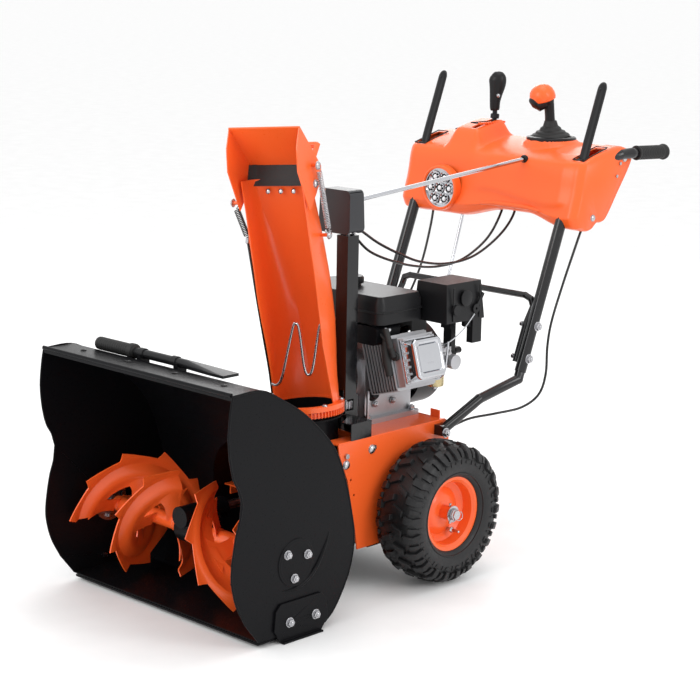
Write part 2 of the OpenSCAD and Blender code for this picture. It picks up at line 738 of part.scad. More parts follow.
// Open channel: outer and inner skins joined row by row
module channel(rows, t) {
    n = 2 * (arc_steps + 1);
    loop = [for (r = rows) each concat([for (i = [0:arc_steps]) row_point(r, i / arc_steps, 0)],
        [for (i = [arc_steps:-1:0]) row_point(r, i / arc_steps, -t)])];
    last = len(rows) - 1;
    sides = [for (i = [0:last - 1]) for (k = [0:n - 1]) let (m = (k + 1) % n, q = i * n, w = q + n)
        each [[q + k, w + m, w + k], [q + k, q + m, w + m]]];
    high = [for (k = [0:arc_steps - 1]) let (t = last * n) [t + k, t + k + 1, t + n - 2 - k, t + n - 1 - k]];
    low = [for (k = [0:arc_steps - 1]) [n - 1 - k, n - 2 - k, k + 1, k]];
    polyhedron(loop, concat(sides, low, high), convexity = 8);
}

// W-shaped guard wire across the mouth
guard_route = [[-72, -20, 466], [-56, -24, 466], [-40, -26, 490], [-8, -26, 596], [0, -26, 606],
    [8, -26, 596], [16, -26, 510], [26, -26, 492], [38, -26, 510], [58, -26, 596], [66, -26, 608],
    [74, -26, 609]];

module chute() {
    color([1, 0.36, 0.1]) {
        chute_frame() {
            translate([0, 0, 400]) rotate([0, 0, mesh_angle - chute_turn]) difference() {
                union() {
                    gear(ring_teeth, ring_pitch, 14);
                    zcyl(ring_r, 13.9, 25);
                }
                zcyl(spout_r + 1, -1, 40);
            }
            channel(chute_rows, 3);
            for (s = [-1, 1]) {
                xcyl(4, min(s * 74, s * 95), max(s * 74, s * 95), -26, 806);
                xcyl(4, min(s * 74, s * 88.5), max(s * 74, s * 88.5), deflector_pivot[1], deflector_pivot[2]);
            }
            swept(smooth(guard_route, 3), 2.5);
        }
    }
}

// Deflector hood: one bent sheet, folded along its two top corners
module deflector() {
    half = 87;
    side = [[-93, 866], [-58, 900], [-32, 935], [-30, 958], [-60, 990], [-119, 1050], [-136, 1006],
        [-137, 955]];
    color([1, 0.36, 0.1]) chute_frame() {
        for (s = [-1, 1]) difference() {
            yz_plate(side, min(s * (half - 2.5), s * half), max(s * (half - 2.5), s * half));
            xcyl(4 + run, -120, 120, deflector_pivot[1], deflector_pivot[2]);
        }
        yz_plate([[-119, 1050], [-33, 960], [-35.5, 957], [-121.5, 1047]], -half, half);
        for (s = [-1, 1]) block([min(s * 30, s * 35), -36, 956], [max(s * 30, s * 35), 22, 961]);
        bent([[-33, 20, 958.5], [-33, 60, 992], [33, 60, 992], [33, 20, 958.5]], 4);
        xcyl(4, half - 1, half + 12, -70, 962);
        xcyl(4, -half - 12, -half + 1, -96, 884);
    }
}

module hinge_flap() {
    color([0.05, 0.05, 0.05]) chute_frame()
        yz_plate([[-43.6, 912], [-40.6, 912], [-55.6, 950], [-58.6, 950]], -44, 44);
}

module deflector_springs() {
    color([0.75, 0.75, 0.77]) chute_frame() {
        bar([94.5, -64, 952], [92.5, -31, 818], 5);
        bar([-94, -92, 873], [-90, -62, 800], 6);
    }
}

/* ---------- engine ---------- */

module engine_block() {
    color([0.7, 0.7, 0.72]) difference() {
        union() {
            block([-92, -80, deck_z + 0.1], [104, 92, deck_z + 12]);
            block([-80, -72, deck_z + 10], [84, 84, 500]);
            ycyl(78, -90, 98, 0, crank_z);
            translate([0, 0, crank_z]) rotate([0, -cyl_tilt, 0]) {
                block([60, -55, -48], [196, 40, 48]);
                for (i = [0:9]) block([92 + 9 * i, -72, -62], [95.5 + 9 * i, 56, 62]);
                block([178, -68, -56], [200, 50, 56]);
            }
        }
        ycyl(12.5 + run, -100, -50, 0, crank_z);
        block([-80, -120, 541], [160, -16, 600]);
    }
}

module valve_cover() {
    color([0.85, 0.85, 0.87]) translate([0, 0, crank_z]) rotate([0, -cyl_tilt, 0]) {
        block([200.1, -66, -50], [206, 48, 50]);
        translate([206, -9, 0]) hull() {
            block([-0.5, -50, -44], [0.5, 50, 44]);
            block([26, -38, -30], [27, 38, 30]);
        }
    }
}

module fan_housing() {
    color([0.08, 0.08, 0.085]) {
        difference() {
            union() {
                ycyl(105, 98.1, 178, 0, crank_z);
                ycyl(84, 178, 204, 0, crank_z);
                block([-70, 98.1, 460], [70, 150, 580]);
            }
            ycyl(101, 90, 175, 0, crank_z);
            ycyl(80, 170, 201, 0, crank_z);
            block([-66, 90, 455], [66, 147, 576]);
            for (k = [0:11]) translate([0, 0, crank_z]) rotate([0, 30 * k, 0])
                block([36, 190, -5], [68, 215, 5]);
        }
        ycyl(14, 100, 206, 0, crank_z);
        block([66, 160, 470], [92, 212, 500]);
    }
}

module fuel_tank() {
    color([0.07, 0.07, 0.075]) difference() {
        hull() for (x = [-118, 132], y = [-78, 30]) {
            zcyl(20, 592, 640, x, y, $fn = 32);
            zcyl(13, 596, 656, x, y, $fn = 32);
        }
        block([-126, -86, 597], [140, 38, 650]);
        zcyl(22, 640, 670, -20, -20);
    }
    color([0.07, 0.07, 0.075]) difference() {
        zcyl(26, 648, 662, -20, -20);
        zcyl(22, 640, 670, -20, -20);
    }
}

module fuel_cap() {
    color([0.1, 0.1, 0.1]) {
        zcyl(30, 662.4, 678, -20, -20);
        zcyl(21, 648, 664, -20, -20);
    }
}

module muffler() {
    color([0.06, 0.06, 0.065]) {
        hull() for (x = [-40, 130], z = [556, 575]) ycyl(12, -98, -20, x, z, $fn = 32);
        block([84, -60, 541.1], [116, -30, 550]);
    }
}

module carburetor() {
    color([0.72, 0.72, 0.74]) {
        block([132, 57, 470], [176, 120, 520]);
        ycyl(17, 56.2, 130, 154, 495);
        zcyl(20, 428, 470, 154, 90);
        zcyl(6, 420, 430, 154, 90);
    }
}

module heater_box() {
    color([0.09, 0.09, 0.1]) {
        difference() {
            hull() {
                block([112, 56, 586], [216, 188, 590]);
                block([118, 62, 674], [208, 182, 676]);
            }
            block([118, 62, 580], [208, 182, 671]);
        }
        block([196, 150, 530], [214, 182, 588]);
        block([140, 122, 560], [170, 140, 588]);
        ycyl(16, 130.1, 146, 154, 495);
        block([142, 130.1, 495], [166, 146, 590]);
        xcyl(12, 214, 222, 86, 616);
    }
}

module spark_plug() {
    color([0.07, 0.07, 0.07]) translate([0, 0, crank_z]) rotate([0, -cyl_tilt, 0]) {
        bar([188, -76, 16], [188, -68.1, 16], 10);
        bent([[188, -77, 16], [190, -84, 38], [186, -84, 82]], 7);
    }
}

module throttle_lever() {
    color([0.07, 0.07, 0.07]) {
        difference() {
            xcyl(11, 216.3, 219.5, 156, 612);
            xcyl(3 + run, 200, 230, 156, 612);
        }
        translate([216.3, 156, 612]) rotate([-35, 0, 0]) block([0, -4, 8], [3.2, 4, 42]);
    }
}

module recoil_handle() {
    color([0.06, 0.06, 0.06]) {
        hull() for (x = [54, 104]) ycyl(8, 213, 232, x, 486, $fn = 32);
    }
}

/* ---------- handles and controls ---------- */

lower_pts = [[196, 68, 328], [216, 180, 392], [handle_x, 296, 426]];
bend = lower_pts[2];
tube_dir = unit([0, 140, 362]);
panel_pts = [[handle_x, 443, 806], [240, 470, 872], [246, 502, 914], [264, 560, 936], [280, 606, 946],
    [288, 640, 948]];
grip_end = [292, 764, 944];

module lower_handles() {
    color([0.05, 0.05, 0.05]) for (s = [0, 1]) mirror([s, 0, 0]) difference() {
        union() {
            bar(lower_pts[0], lower_pts[1], tube_r - 2);
            bar(lower_pts[1], lower_pts[2], tube_r - 2);
            translate(lower_pts[1]) sphere(r = tube_r - 1.6);
            translate(bend) sphere(r = tube_r - 1.6);
            bar(bend, bend + 130 * tube_dir, tube_r - 2);
            block([frame_x + 0.3, 60, 320], [208, 88, 344]);
        }
        xcyl(4.3, 150, 300, handle_bolts[0][0], handle_bolts[0][1]);
        for (i = [1, 2]) xcyl(4.3, 150, 300, handle_bolts[i][0], handle_bolts[i][1]);
        block([frame_x - 20, 0, 300], [frame_x + 0.3, 200, 380]);
    }
}

module upper_handles() {
    color([0.05, 0.05, 0.05]) for (s = [0, 1]) mirror([s, 0, 0]) difference() {
        union() {
            bar(bend + 18 * tube_dir, panel_pts[0], tube_r);
            bent(concat(panel_pts, [grip_end]), tube_r - 1);
            translate(panel_pts[0]) sphere(r = tube_r + 0.4);
        }
        bar(bend + 10 * tube_dir, bend + 140 * tube_dir, tube_r - 1.8);
        for (i = [1, 2]) xcyl(4.3, 150, 300, handle_bolts[i][0], handle_bolts[i][1]);
    }
}

module crossbar() {
    z = 614;
    y = 372;
    inner = handle_x - tube_r - 9;
    leg = [[inner, 372, z - 24], [inner, 346, 549], [inner, 312, 462]];
    color([0.05, 0.05, 0.05]) difference() {
        union() for (s = [0, 1]) mirror([s, 0, 0]) {
            bent(concat([[-1, y, z], [inner - 26, y, z], [inner - 7, y, z - 7]], leg), 8);
        }
        for (i = [1, 2]) xcyl(4.3, -300, 300, handle_bolts[i][0], handle_bolts[i][1]);
    }
}

module grips() {
    color([0.07, 0.07, 0.07]) for (s = [0, 1]) mirror([s, 0, 0]) difference() {
        union() {
            bar([288.5, 656, 947.5], [292, 762, 944], 17);
            bar([292, 758, 944.2], [292.3, 770.4, 943.8], 20);
        }
        bar([288, 640, 948], [292, 764.2, 944], tube_r - 0.95);
        block([250, rear_y, 900], [330, rear_y + 20, 1000]);
    }
}

// Inset of the panel outline towards its middle
panel_mid = [540, 872];
function inset(p, d) = [for (q = p) q + d * unit(panel_mid - q)];

module control_panel() {
    color([1, 0.38, 0.12]) {
        difference() {
            union() {
                yz_plate(panel_outline, -panel_x, panel_x);
                hull() {
                    block([-168, 462, 930], [-62, 610, 940]);
                    block([-150, 486, 1000], [-80, 596, 1002]);
                }
                translate([stick_pivot[0], stick_pivot[1], 950]) cylinder(r = 66, h = 22);
                ycyl(54, 425, 470, -140, 838);
            }
            yz_plate(inset(panel_outline, 5), -panel_x + 3, panel_x - 3);
            hull() {
                block([-164, 466, 930], [-66, 606, 932]);
                block([-146, 490, 990], [-84, 592, 997]);
            }
            translate([stick_pivot[0], stick_pivot[1], 940]) cylinder(r = 62, h = 27);
            translate([stick_pivot[0], stick_pivot[1], 940]) cylinder(r = 51.5, h = 50);
            block([-108, 500, 990], [-92, 606, 1010]);
            for (s = [-1, 1]) {
                block([s * paddle_x - 17, 470, 925], [s * paddle_x + 17, 560, 980]);
            }
            for (s = [0, 1]) mirror([s, 0, 0]) {
                bar(bend + 300 * tube_dir, panel_pts[0], tube_r + 1);
                translate(panel_pts[0]) sphere(r = tube_r + 1.5);
                bent(concat(panel_pts, [grip_end]), tube_r);
            }
            block([-230, 440, 740], [230, 560, 800]);
            block([252, 462, 755], [272, 512, 806]);
            translate([20, 0, 690]) ycyl(105, 400, 600);
            bar(rod_b - 30 * rod_dir, rod_b + 60 * rod_dir, 9);
            ycyl(50, 400, 440, -140, 838);
        }
        panel_brackets();
    }
}

// Moulded brackets inside the panel: paddle cheeks and pins, joystick cradle, shift lever post
module panel_brackets() {
    for (s = [-1, 1]) {
        for (k = [-1, 1]) block([s * paddle_x + k * 16.2 - 2.8, 478, 927],
            [s * paddle_x + k * 16.2 + 2.8, 496, 941]);
        xcyl(4, s * paddle_x - 17, s * paddle_x + 17, paddle_pivot[0], paddle_pivot[1]);
    }
    x = stick_pivot[0];
    difference() {
        union() {
            block([x - 12, 458, 916], [x + 12, 641, 923]);
            for (k = [-1, 1]) block([x - 8, stick_pivot[1] + k * 31 - 3.5, 920],
                [x + 8, stick_pivot[1] + k * 31 + 3.5, 955]);
        }
        ycyl(4 + run, 500, 640, x, stick_pivot[2]);
    }
    block([-84, 458, 888], [-76, 628, 896]);
    block([-84, lever_pivot[1] - 9, 890], [-76, lever_pivot[1] + 9, 914]);
    xcyl(4, lever_pivot[0] - 8, -78, lever_pivot[1], lever_pivot[2]);
}

module headlight() {
    color([0.85, 0.85, 0.88]) difference() {
        union() {
            ycyl(49.5, 421, 438, -140, 838);
            ycyl(53, 420, 424.8, -140, 838);
        }
        ycyl(46, 410, 430, -140, 838);
    }
    color([0.95, 0.95, 1]) for (k = [0:6]) translate([-140 + (k == 0 ? 0 : 28 * cos(60 * k)), 0,
        838 + (k == 0 ? 0 : 28 * sin(60 * k))]) ycyl(12, 421, 431);
}

module joystick_gimbal() {
    color([0.1, 0.1, 0.1]) {
        difference() {
            translate(stick_pivot) sphere(r = 22);
            translate(stick_pivot) sphere(r = 16);
            block(stick_pivot - [14, 40, 0], stick_pivot + [14, 40, 40]);
            xcyl(3 + run, stick_pivot[0] - 50, stick_pivot[0] + 50, stick_pivot[1], stick_pivot[2]);
        }
        for (k = [-1, 1]) ycyl(4, stick_pivot[1] + k * 26 - 8.5, stick_pivot[1] + k * 26 + 8.5,
            stick_pivot[0], stick_pivot[2]);
    }
}

module joystick() {
    color([0.08, 0.08, 0.08]) translate(stick_pivot) {
        sphere(r = 15);
        xcyl(3, -21, 21);
        bar([0, 0, 10], [0, -12, 100], 7);
        translate([0, -1, 0]) rotate([4, 0, 0]) rotate_extrude() polygon([[0, 27], [42, 27], [44, 30],
            [26, 52], [14, 68], [9, 80], [0, 80]]);
    }
    color([1, 0.36, 0.1]) translate(stick_pivot) {
        hull() {
            translate([0, -12, 100]) sphere(r = 18, $fn = 32);
            translate([-14, -34, 120]) sphere(r = 15, $fn = 32);
            translate([6, -16, 124]) sphere(r = 12, $fn = 32);
        }
    }
}

arm_end = [lever_pivot[0], 518, 928.2];

module shift_lever() {
    p = lever_pivot;
    color([0.08, 0.08, 0.08]) {
        difference() {
            union() {
                xcyl(12, p[0] - 5, p[0] + 5, p[1], p[2]);
                bar(p, [p[0], 582, 1014], 4.5);
                bar(p, arm_end, 4.5);
                xcyl(3, p[0] - 16, p[0], arm_end[1], arm_end[2]);
            }
            xcyl(4 + run, -200, 0, p[1], p[2]);
        }
        hull() {
            bar([p[0], 582, 1009], [p[0], 582, 1011], 9, $fn = 32);
            translate([p[0], 578, 1060]) sphere(r = 15, $fn = 32);
            translate([p[0], 584, 1112]) sphere(r = 17, $fn = 32);
        }
    }
}

module shift_rod() {
    x = arm_end[0] - 10;
    color([0.75, 0.75, 0.77]) difference() {
        union() {
            xcyl(8.5, x - 2.5, x + 2.5, arm_end[1], arm_end[2]);
            bent([[x, 516, 921], [-118, 500, 806], [-118, 436, 600], [-118, 380, 560], [-118, 150, 399],
                [-118, 132, 372], [-118, 132, 332]], 4);
        }
        xcyl(5, x - 10, x + 10, arm_end[1], arm_end[2]);
    }
}

module paddle() {
    profile = [[477, 925], [484, 922], [494, 934], [560, 1108], [557, 1121], [547, 1120], [484, 950]];
    difference() {
        union() {
            yz_plate(profile, -13, 13);
            xcyl(9, -13, 13, paddle_pivot[0], paddle_pivot[1]);
        }
        xcyl(4 + run, -30, 30, paddle_pivot[0], paddle_pivot[1]);
    }
}

module paddle_left() {
    color([0.05, 0.05, 0.05]) translate([paddle_x, 0, 0]) paddle();
}

module paddle_right() {
    color([0.05, 0.05, 0.05]) translate([-paddle_x, 0, 0]) paddle();
}

module clean_out_tool() {
    y = tool_axis[0];
    z = tool_axis[1];
    color([0.07, 0.07, 0.07]) {
        xcyl(13, -236, -120, y, z);
        xcyl(10, -120, 60, y, z);
        xcyl(16, -126, -112, y, z);
        hull() {
            xcyl(10, 50, 60, y, z, $fn = 32);
            block([150, y - 22, z - 5], [196, y + 22, z + 1]);
        }
    }
}

module control_cables() {
    color([0.03, 0.03, 0.03]) {
        for (route = [auger_cable, drive_cable, chute_cable, deflect_cable])
            swept(smooth(route, 5), cable_d / 2);
    }
}

place() auger_housing();
place() side_plates();
place() impeller_drum();
place() scraper_bar();
place() skid_shoes();
place() shaft_bearings();
place() frame_bolts();
place() auger_gearbox();
place() frame();
place() bottom_cover();
place() belt_cover();
place() chute_post();
place() chute_gear_cover();
place() engine_block();
place() valve_cover();
place() fan_housing();
place() fuel_tank();
place() muffler();
place() carburetor();
place() heater_box();
place() spark_plug();
place() lower_handles();
place() upper_handles();
place() crossbar();
place() grips();
place() control_panel();
place() headlight();
place() drive_belts();
place() control_cables();
place() impeller();
place() impeller_shaft();
place() auger_shaft();
place() auger_left();
place() auger_right();
place() shear_bolts();
place() crankshaft();
place() axle();
place() wheel_rims();
place() tyres();
place() hub_pins();
place() hex_shaft();
place() friction_wheel();
place() friction_disc();
place() chute();
place() deflector();
place() deflector_springs();
place() chute_drive();
place() control_rod();
place() joystick_gimbal();
place() joystick();
place() shift_lever();
place() shift_rod();
place() paddle_left();
place() paddle_right();
place() idler_arm();
place() throttle_lever();
place() recoil_handle();
place() fuel_cap();
place() clean_out_tool();
place() hinge_flap();
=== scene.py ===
"""Looks of the two stage snowblower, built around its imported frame.

Metres, in the row frame: +X is the operator's left, -Y the front, Z up, the floor at z = 0.
Places given in millimetres go through mm(), which also moves them from the axle's origin to the row's.
"""
import json
from math import cos, exp, hypot, pi, radians, sin

import bmesh
import bpy
from mathutils import Matrix, Vector


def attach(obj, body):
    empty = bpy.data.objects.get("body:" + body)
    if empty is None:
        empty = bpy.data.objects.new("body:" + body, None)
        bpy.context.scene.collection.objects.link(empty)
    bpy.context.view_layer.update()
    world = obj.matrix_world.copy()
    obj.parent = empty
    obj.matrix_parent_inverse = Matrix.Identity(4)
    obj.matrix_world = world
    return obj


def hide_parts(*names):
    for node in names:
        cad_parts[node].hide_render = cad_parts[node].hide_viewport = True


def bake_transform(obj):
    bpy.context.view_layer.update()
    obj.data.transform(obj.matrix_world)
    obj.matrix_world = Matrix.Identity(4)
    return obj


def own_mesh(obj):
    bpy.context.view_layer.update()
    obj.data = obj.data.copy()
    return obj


AXLE_SHIFT = -0.035  # the row frame's y of the wheel axle
AXLE_HEIGHT = 165  # this and the lengths below are in millimetres about the axle
TRACK_HALF = 256
AUGER_Y, AUGER_Z = -509, 167
PADDLE_OUT = 256
CHUTE_TURN = radians(18)
CHUTE_LEAN = radians(-4.3)

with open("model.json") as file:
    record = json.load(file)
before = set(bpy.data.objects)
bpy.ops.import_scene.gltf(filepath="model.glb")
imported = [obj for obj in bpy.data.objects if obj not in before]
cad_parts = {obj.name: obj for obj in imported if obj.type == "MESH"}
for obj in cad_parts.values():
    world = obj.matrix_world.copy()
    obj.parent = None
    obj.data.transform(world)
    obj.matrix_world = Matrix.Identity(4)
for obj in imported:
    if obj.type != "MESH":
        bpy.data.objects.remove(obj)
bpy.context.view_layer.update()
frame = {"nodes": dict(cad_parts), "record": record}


# ---- camera, room and light ----


def mm(x, y, z):
    """A point in millimetres about the axle, as metres in the row frame."""
    return Vector((x / 1000, y / 1000 + AXLE_SHIFT, z / 1000))


def add_camera():
    """The view: from the front and the operator's left, a little from above."""
    target = Vector((-0.0041, -0.0684, 0.5041))
    azimuth, elevation, roll = radians(44.171), radians(11.956), radians(0.984)
    back = Vector((cos(elevation) * sin(azimuth), -cos(elevation) * cos(azimuth), sin(elevation)))
    right = back.cross(Vector((0, 0, -1))).normalized()
    up = back.cross(right)
    right, up = (right * cos(roll) + up * sin(roll), up * cos(roll) - right * sin(roll))
    place = Matrix((right, up, back)).transposed().to_4x4()
    place.translation = target + back * 4.4402
    data = bpy.data.cameras.new("camera")
    data.lens = 97.41
    data.sensor_width = 36
    camera = bpy.data.objects.new("camera", data)
    camera.matrix_world = place
    bpy.context.scene.collection.objects.link(camera)
    bpy.context.scene.camera = camera


def add_softbox(name, place, aim, size, watts):
    """A rectangular lamp at place that faces aim."""
    data = bpy.data.lights.new(name, "AREA")
    data.shape = "RECTANGLE"
    data.size, data.size_y = size
    data.energy = watts
    light = bpy.data.objects.new(name, data)
    light.location = place
    light.rotation_euler = (Vector(aim) - Vector(place)).to_track_quat("-Z", "Y").to_euler()
    bpy.context.scene.collection.objects.link(light)


def add_studio():
    """White sweep, white surround and four softboxes."""
    world = bpy.data.worlds.new("studio")
    world.use_nodes = True
    surround = world.node_tree.nodes["Background"]
    surround.inputs["Color"].default_value = (1, 1, 1, 1)
    surround.inputs["Strength"].default_value = 1.06
    bpy.context.scene.world = world
    bpy.context.scene.view_settings.view_transform = "Standard"
    add_softbox("key_light", (-0.6, -4.2, 2.6), (0, 0, 0.5), (2.6, 2.0), 62)
    add_softbox("side_light", (4.2, 0.4, 2.4), (0, 0, 0.5), (1.2, 2.4), 45)
    add_softbox("top_light", (0.2, 0.4, 3.6), (0, 0, 0.5), (2.6, 1.6), 22)
    add_softbox("back_light", (-2.6, 2.8, 2.2), (0, 0, 0.6), (1.8, 1.8), 25)
    floor_mesh = bpy.data.meshes.new("floor")
    far = 60
    floor_mesh.from_pydata([(-far, -far, 0), (far, -far, 0), (far, far, 0), (-far, far, 0)], [],
                           [(0, 1, 2, 3)])
    floor = bpy.data.objects.new("floor", floor_mesh)
    floor.location.z = -0.0006
    bpy.context.scene.collection.objects.link(floor)
    floor_mesh.materials.append(finish("floor_white", (0.96, 0.96, 0.96), 0.7, spread=0.05, grain=40,
                                       bump=0.02))


# ---- finishes ----


def finish(name, colour, rough, metal=0.0, spread=0.06, grain=60.0, bump=0.06, coat=0.0, tint=0.9, gleam=0.5,
           brushed=None):
    """A surface whose tone, gloss and relief all vary: broad tone patches, fine grain and a slight relief."""
    if name in bpy.data.materials:
        return bpy.data.materials[name]
    made = bpy.data.materials.new(name)
    made.use_nodes = True
    made.diffuse_color = (*colour, 1)
    nodes, links = made.node_tree.nodes, made.node_tree.links
    shader = nodes["Principled BSDF"]
    shader.inputs["Metallic"].default_value = metal
    shader.inputs["Coat Weight"].default_value = coat
    shader.inputs["Coat Roughness"].default_value = 0.06
    shader.inputs["Specular IOR Level"].default_value = gleam
    place = nodes.new("ShaderNodeTexCoord")
    stretch = nodes.new("ShaderNodeMapping")
    stretch.inputs["Scale"].default_value = brushed or (1, 1, 1)
    links.new(place.outputs["Object"], stretch.inputs["Vector"])
    patches = nodes.new("ShaderNodeTexNoise")
    patches.inputs["Scale"].default_value = 9
    patches.inputs["Detail"].default_value = 5
    links.new(place.outputs["Object"], patches.inputs["Vector"])
    fine = nodes.new("ShaderNodeTexNoise")
    fine.inputs["Scale"].default_value = grain
    fine.inputs["Detail"].default_value = 6
    links.new(stretch.outputs["Vector"], fine.inputs["Vector"])
    tone = nodes.new("ShaderNodeMix")
    tone.data_type = "RGBA"
    tone.inputs[6].default_value = (*[c * tint for c in colour], 1)
    tone.inputs[7].default_value = (*colour, 1)
    links.new(patches.outputs["Fac"], tone.inputs[0])
    links.new(tone.outputs[2], shader.inputs["Base Color"])
    gloss = nodes.new("ShaderNodeMapRange")
    gloss.inputs["From Min"].default_value = 0.3
    gloss.inputs["From Max"].default_value = 0.7
    gloss.inputs["To Min"].default_value = max(0.02, rough - spread)
    gloss.inputs["To Max"].default_value = rough + spread
    links.new(fine.outputs["Fac"], gloss.inputs["Value"])
    links.new(gloss.outputs["Result"], shader.inputs["Roughness"])
    relief = nodes.new("ShaderNodeBump")
    relief.inputs["Strength"].default_value = bump
    relief.inputs["Distance"].default_value = 0.001
    links.new(fine.outputs["Fac"], relief.inputs["Height"])
    links.new(relief.outputs["Normal"], shader.inputs["Normal"])
    return made


ORANGE = (0.93, 0.125, 0.02)
SLOT_FINISHES = {
    "orange_sheet": lambda: finish("orange_powder_coat", ORANGE, 0.32, spread=0.05, grain=240, bump=0.05,
                                   coat=0.15),
    "black_sheet": lambda: finish("black_powder_coat", (0.005, 0.005, 0.006), 0.32, grain=320, bump=0.08,
                                  gleam=0.1),
    "black_tube": lambda: finish("black_gloss_coat", (0.008, 0.008, 0.009), 0.16, grain=120, bump=0.03,
                                 gleam=0.45),
    "orange_plastic": lambda: finish("orange_moulding", (0.93, 0.125, 0.018), 0.36, grain=420, bump=0.05,
                                     coat=0.06, gleam=0.4),
    "black_plastic": lambda: finish("black_moulding", (0.008, 0.008, 0.009), 0.36, grain=520, bump=0.12,
                                    gleam=0.25),
    "grey_plastic": lambda: finish("grey_moulding", (0.02, 0.021, 0.025), 0.36, grain=420, bump=0.12),
    "rubber": lambda: finish("black_rubber", (0.016, 0.016, 0.016), 0.58, grain=260, bump=0.2, gleam=0.35),
    "tyre": lambda: finish("tyre_rubber", (0.012, 0.012, 0.013), 0.45, spread=0.1, grain=180, bump=0.3,
                           tint=0.7, gleam=0.35),
    "cast": lambda: finish("cast_aluminium", (0.5, 0.5, 0.52), 0.38, metal=0.85, spread=0.1, grain=300,
                           bump=0.3, tint=0.8),
    "chrome": lambda: finish("bright_chrome", (0.6, 0.61, 0.64), 0.14, metal=1, spread=0.04, grain=20,
                             bump=0.03, tint=0.8),
    "zinc": lambda: finish("zinc_plate", (0.52, 0.52, 0.54), 0.26, metal=1, spread=0.08, grain=160,
                           bump=0.08, tint=0.85),
    "steel": lambda: finish("machined_steel", (0.5, 0.5, 0.52), 0.33, metal=1, spread=0.08, grain=140,
                            bump=0.1, brushed=(1, 1, 8)),
    "cable": lambda: finish("cable_sleeve", (0.01, 0.01, 0.01), 0.25, grain=200, bump=0.04, gleam=0.45),
}
EDGE_RADIUS = {"orange_plastic": 3.5, "black_plastic": 1.6, "grey_plastic": 14, "cast": 1.2,
               "black_sheet": 0.8,
               "orange_sheet": 0.8, "tyre": 2, "rubber": 1}  # millimetres


def dress_frame():
    """Gives each CAD node its slot's finish, and a small rounded edge so that it catches the light."""
    slots = {row["node"]: row["material_slot"] for row in frame["record"]["subparts"]}
    for name, node in frame["nodes"].items():
        chosen = slots[name]
        node.data.materials.clear()
        node.data.materials.append(SLOT_FINISHES[chosen]())
        own_normals = node.data.attributes.get("custom_normal")
        if own_normals:
            node.data.attributes.remove(own_normals)
        node.data.shade_smooth()
        weld = node.modifiers.new("weld", "WELD")
        weld.merge_threshold = 1e-5
        round_edges(node, EDGE_RADIUS.get(chosen, 0.5), 4 if chosen == "grey_plastic" else 2)


def round_edges(thing, width, segments):
    """A bevel of width millimetres wherever two faces meet at more than 32 degrees."""
    edges = thing.modifiers.new("edges", "BEVEL")
    edges.width = width / 1000
    edges.segments = segments
    edges.limit_method = "ANGLE"
    edges.angle_limit = radians(32)
    edges.harden_normals = True
    edges.miter_outer = "MITER_ARC"


# ---- shape helpers ----


def turns(count):
    """The angles of even steps once round a circle."""
    return [2 * pi * k / count for k in range(count)]


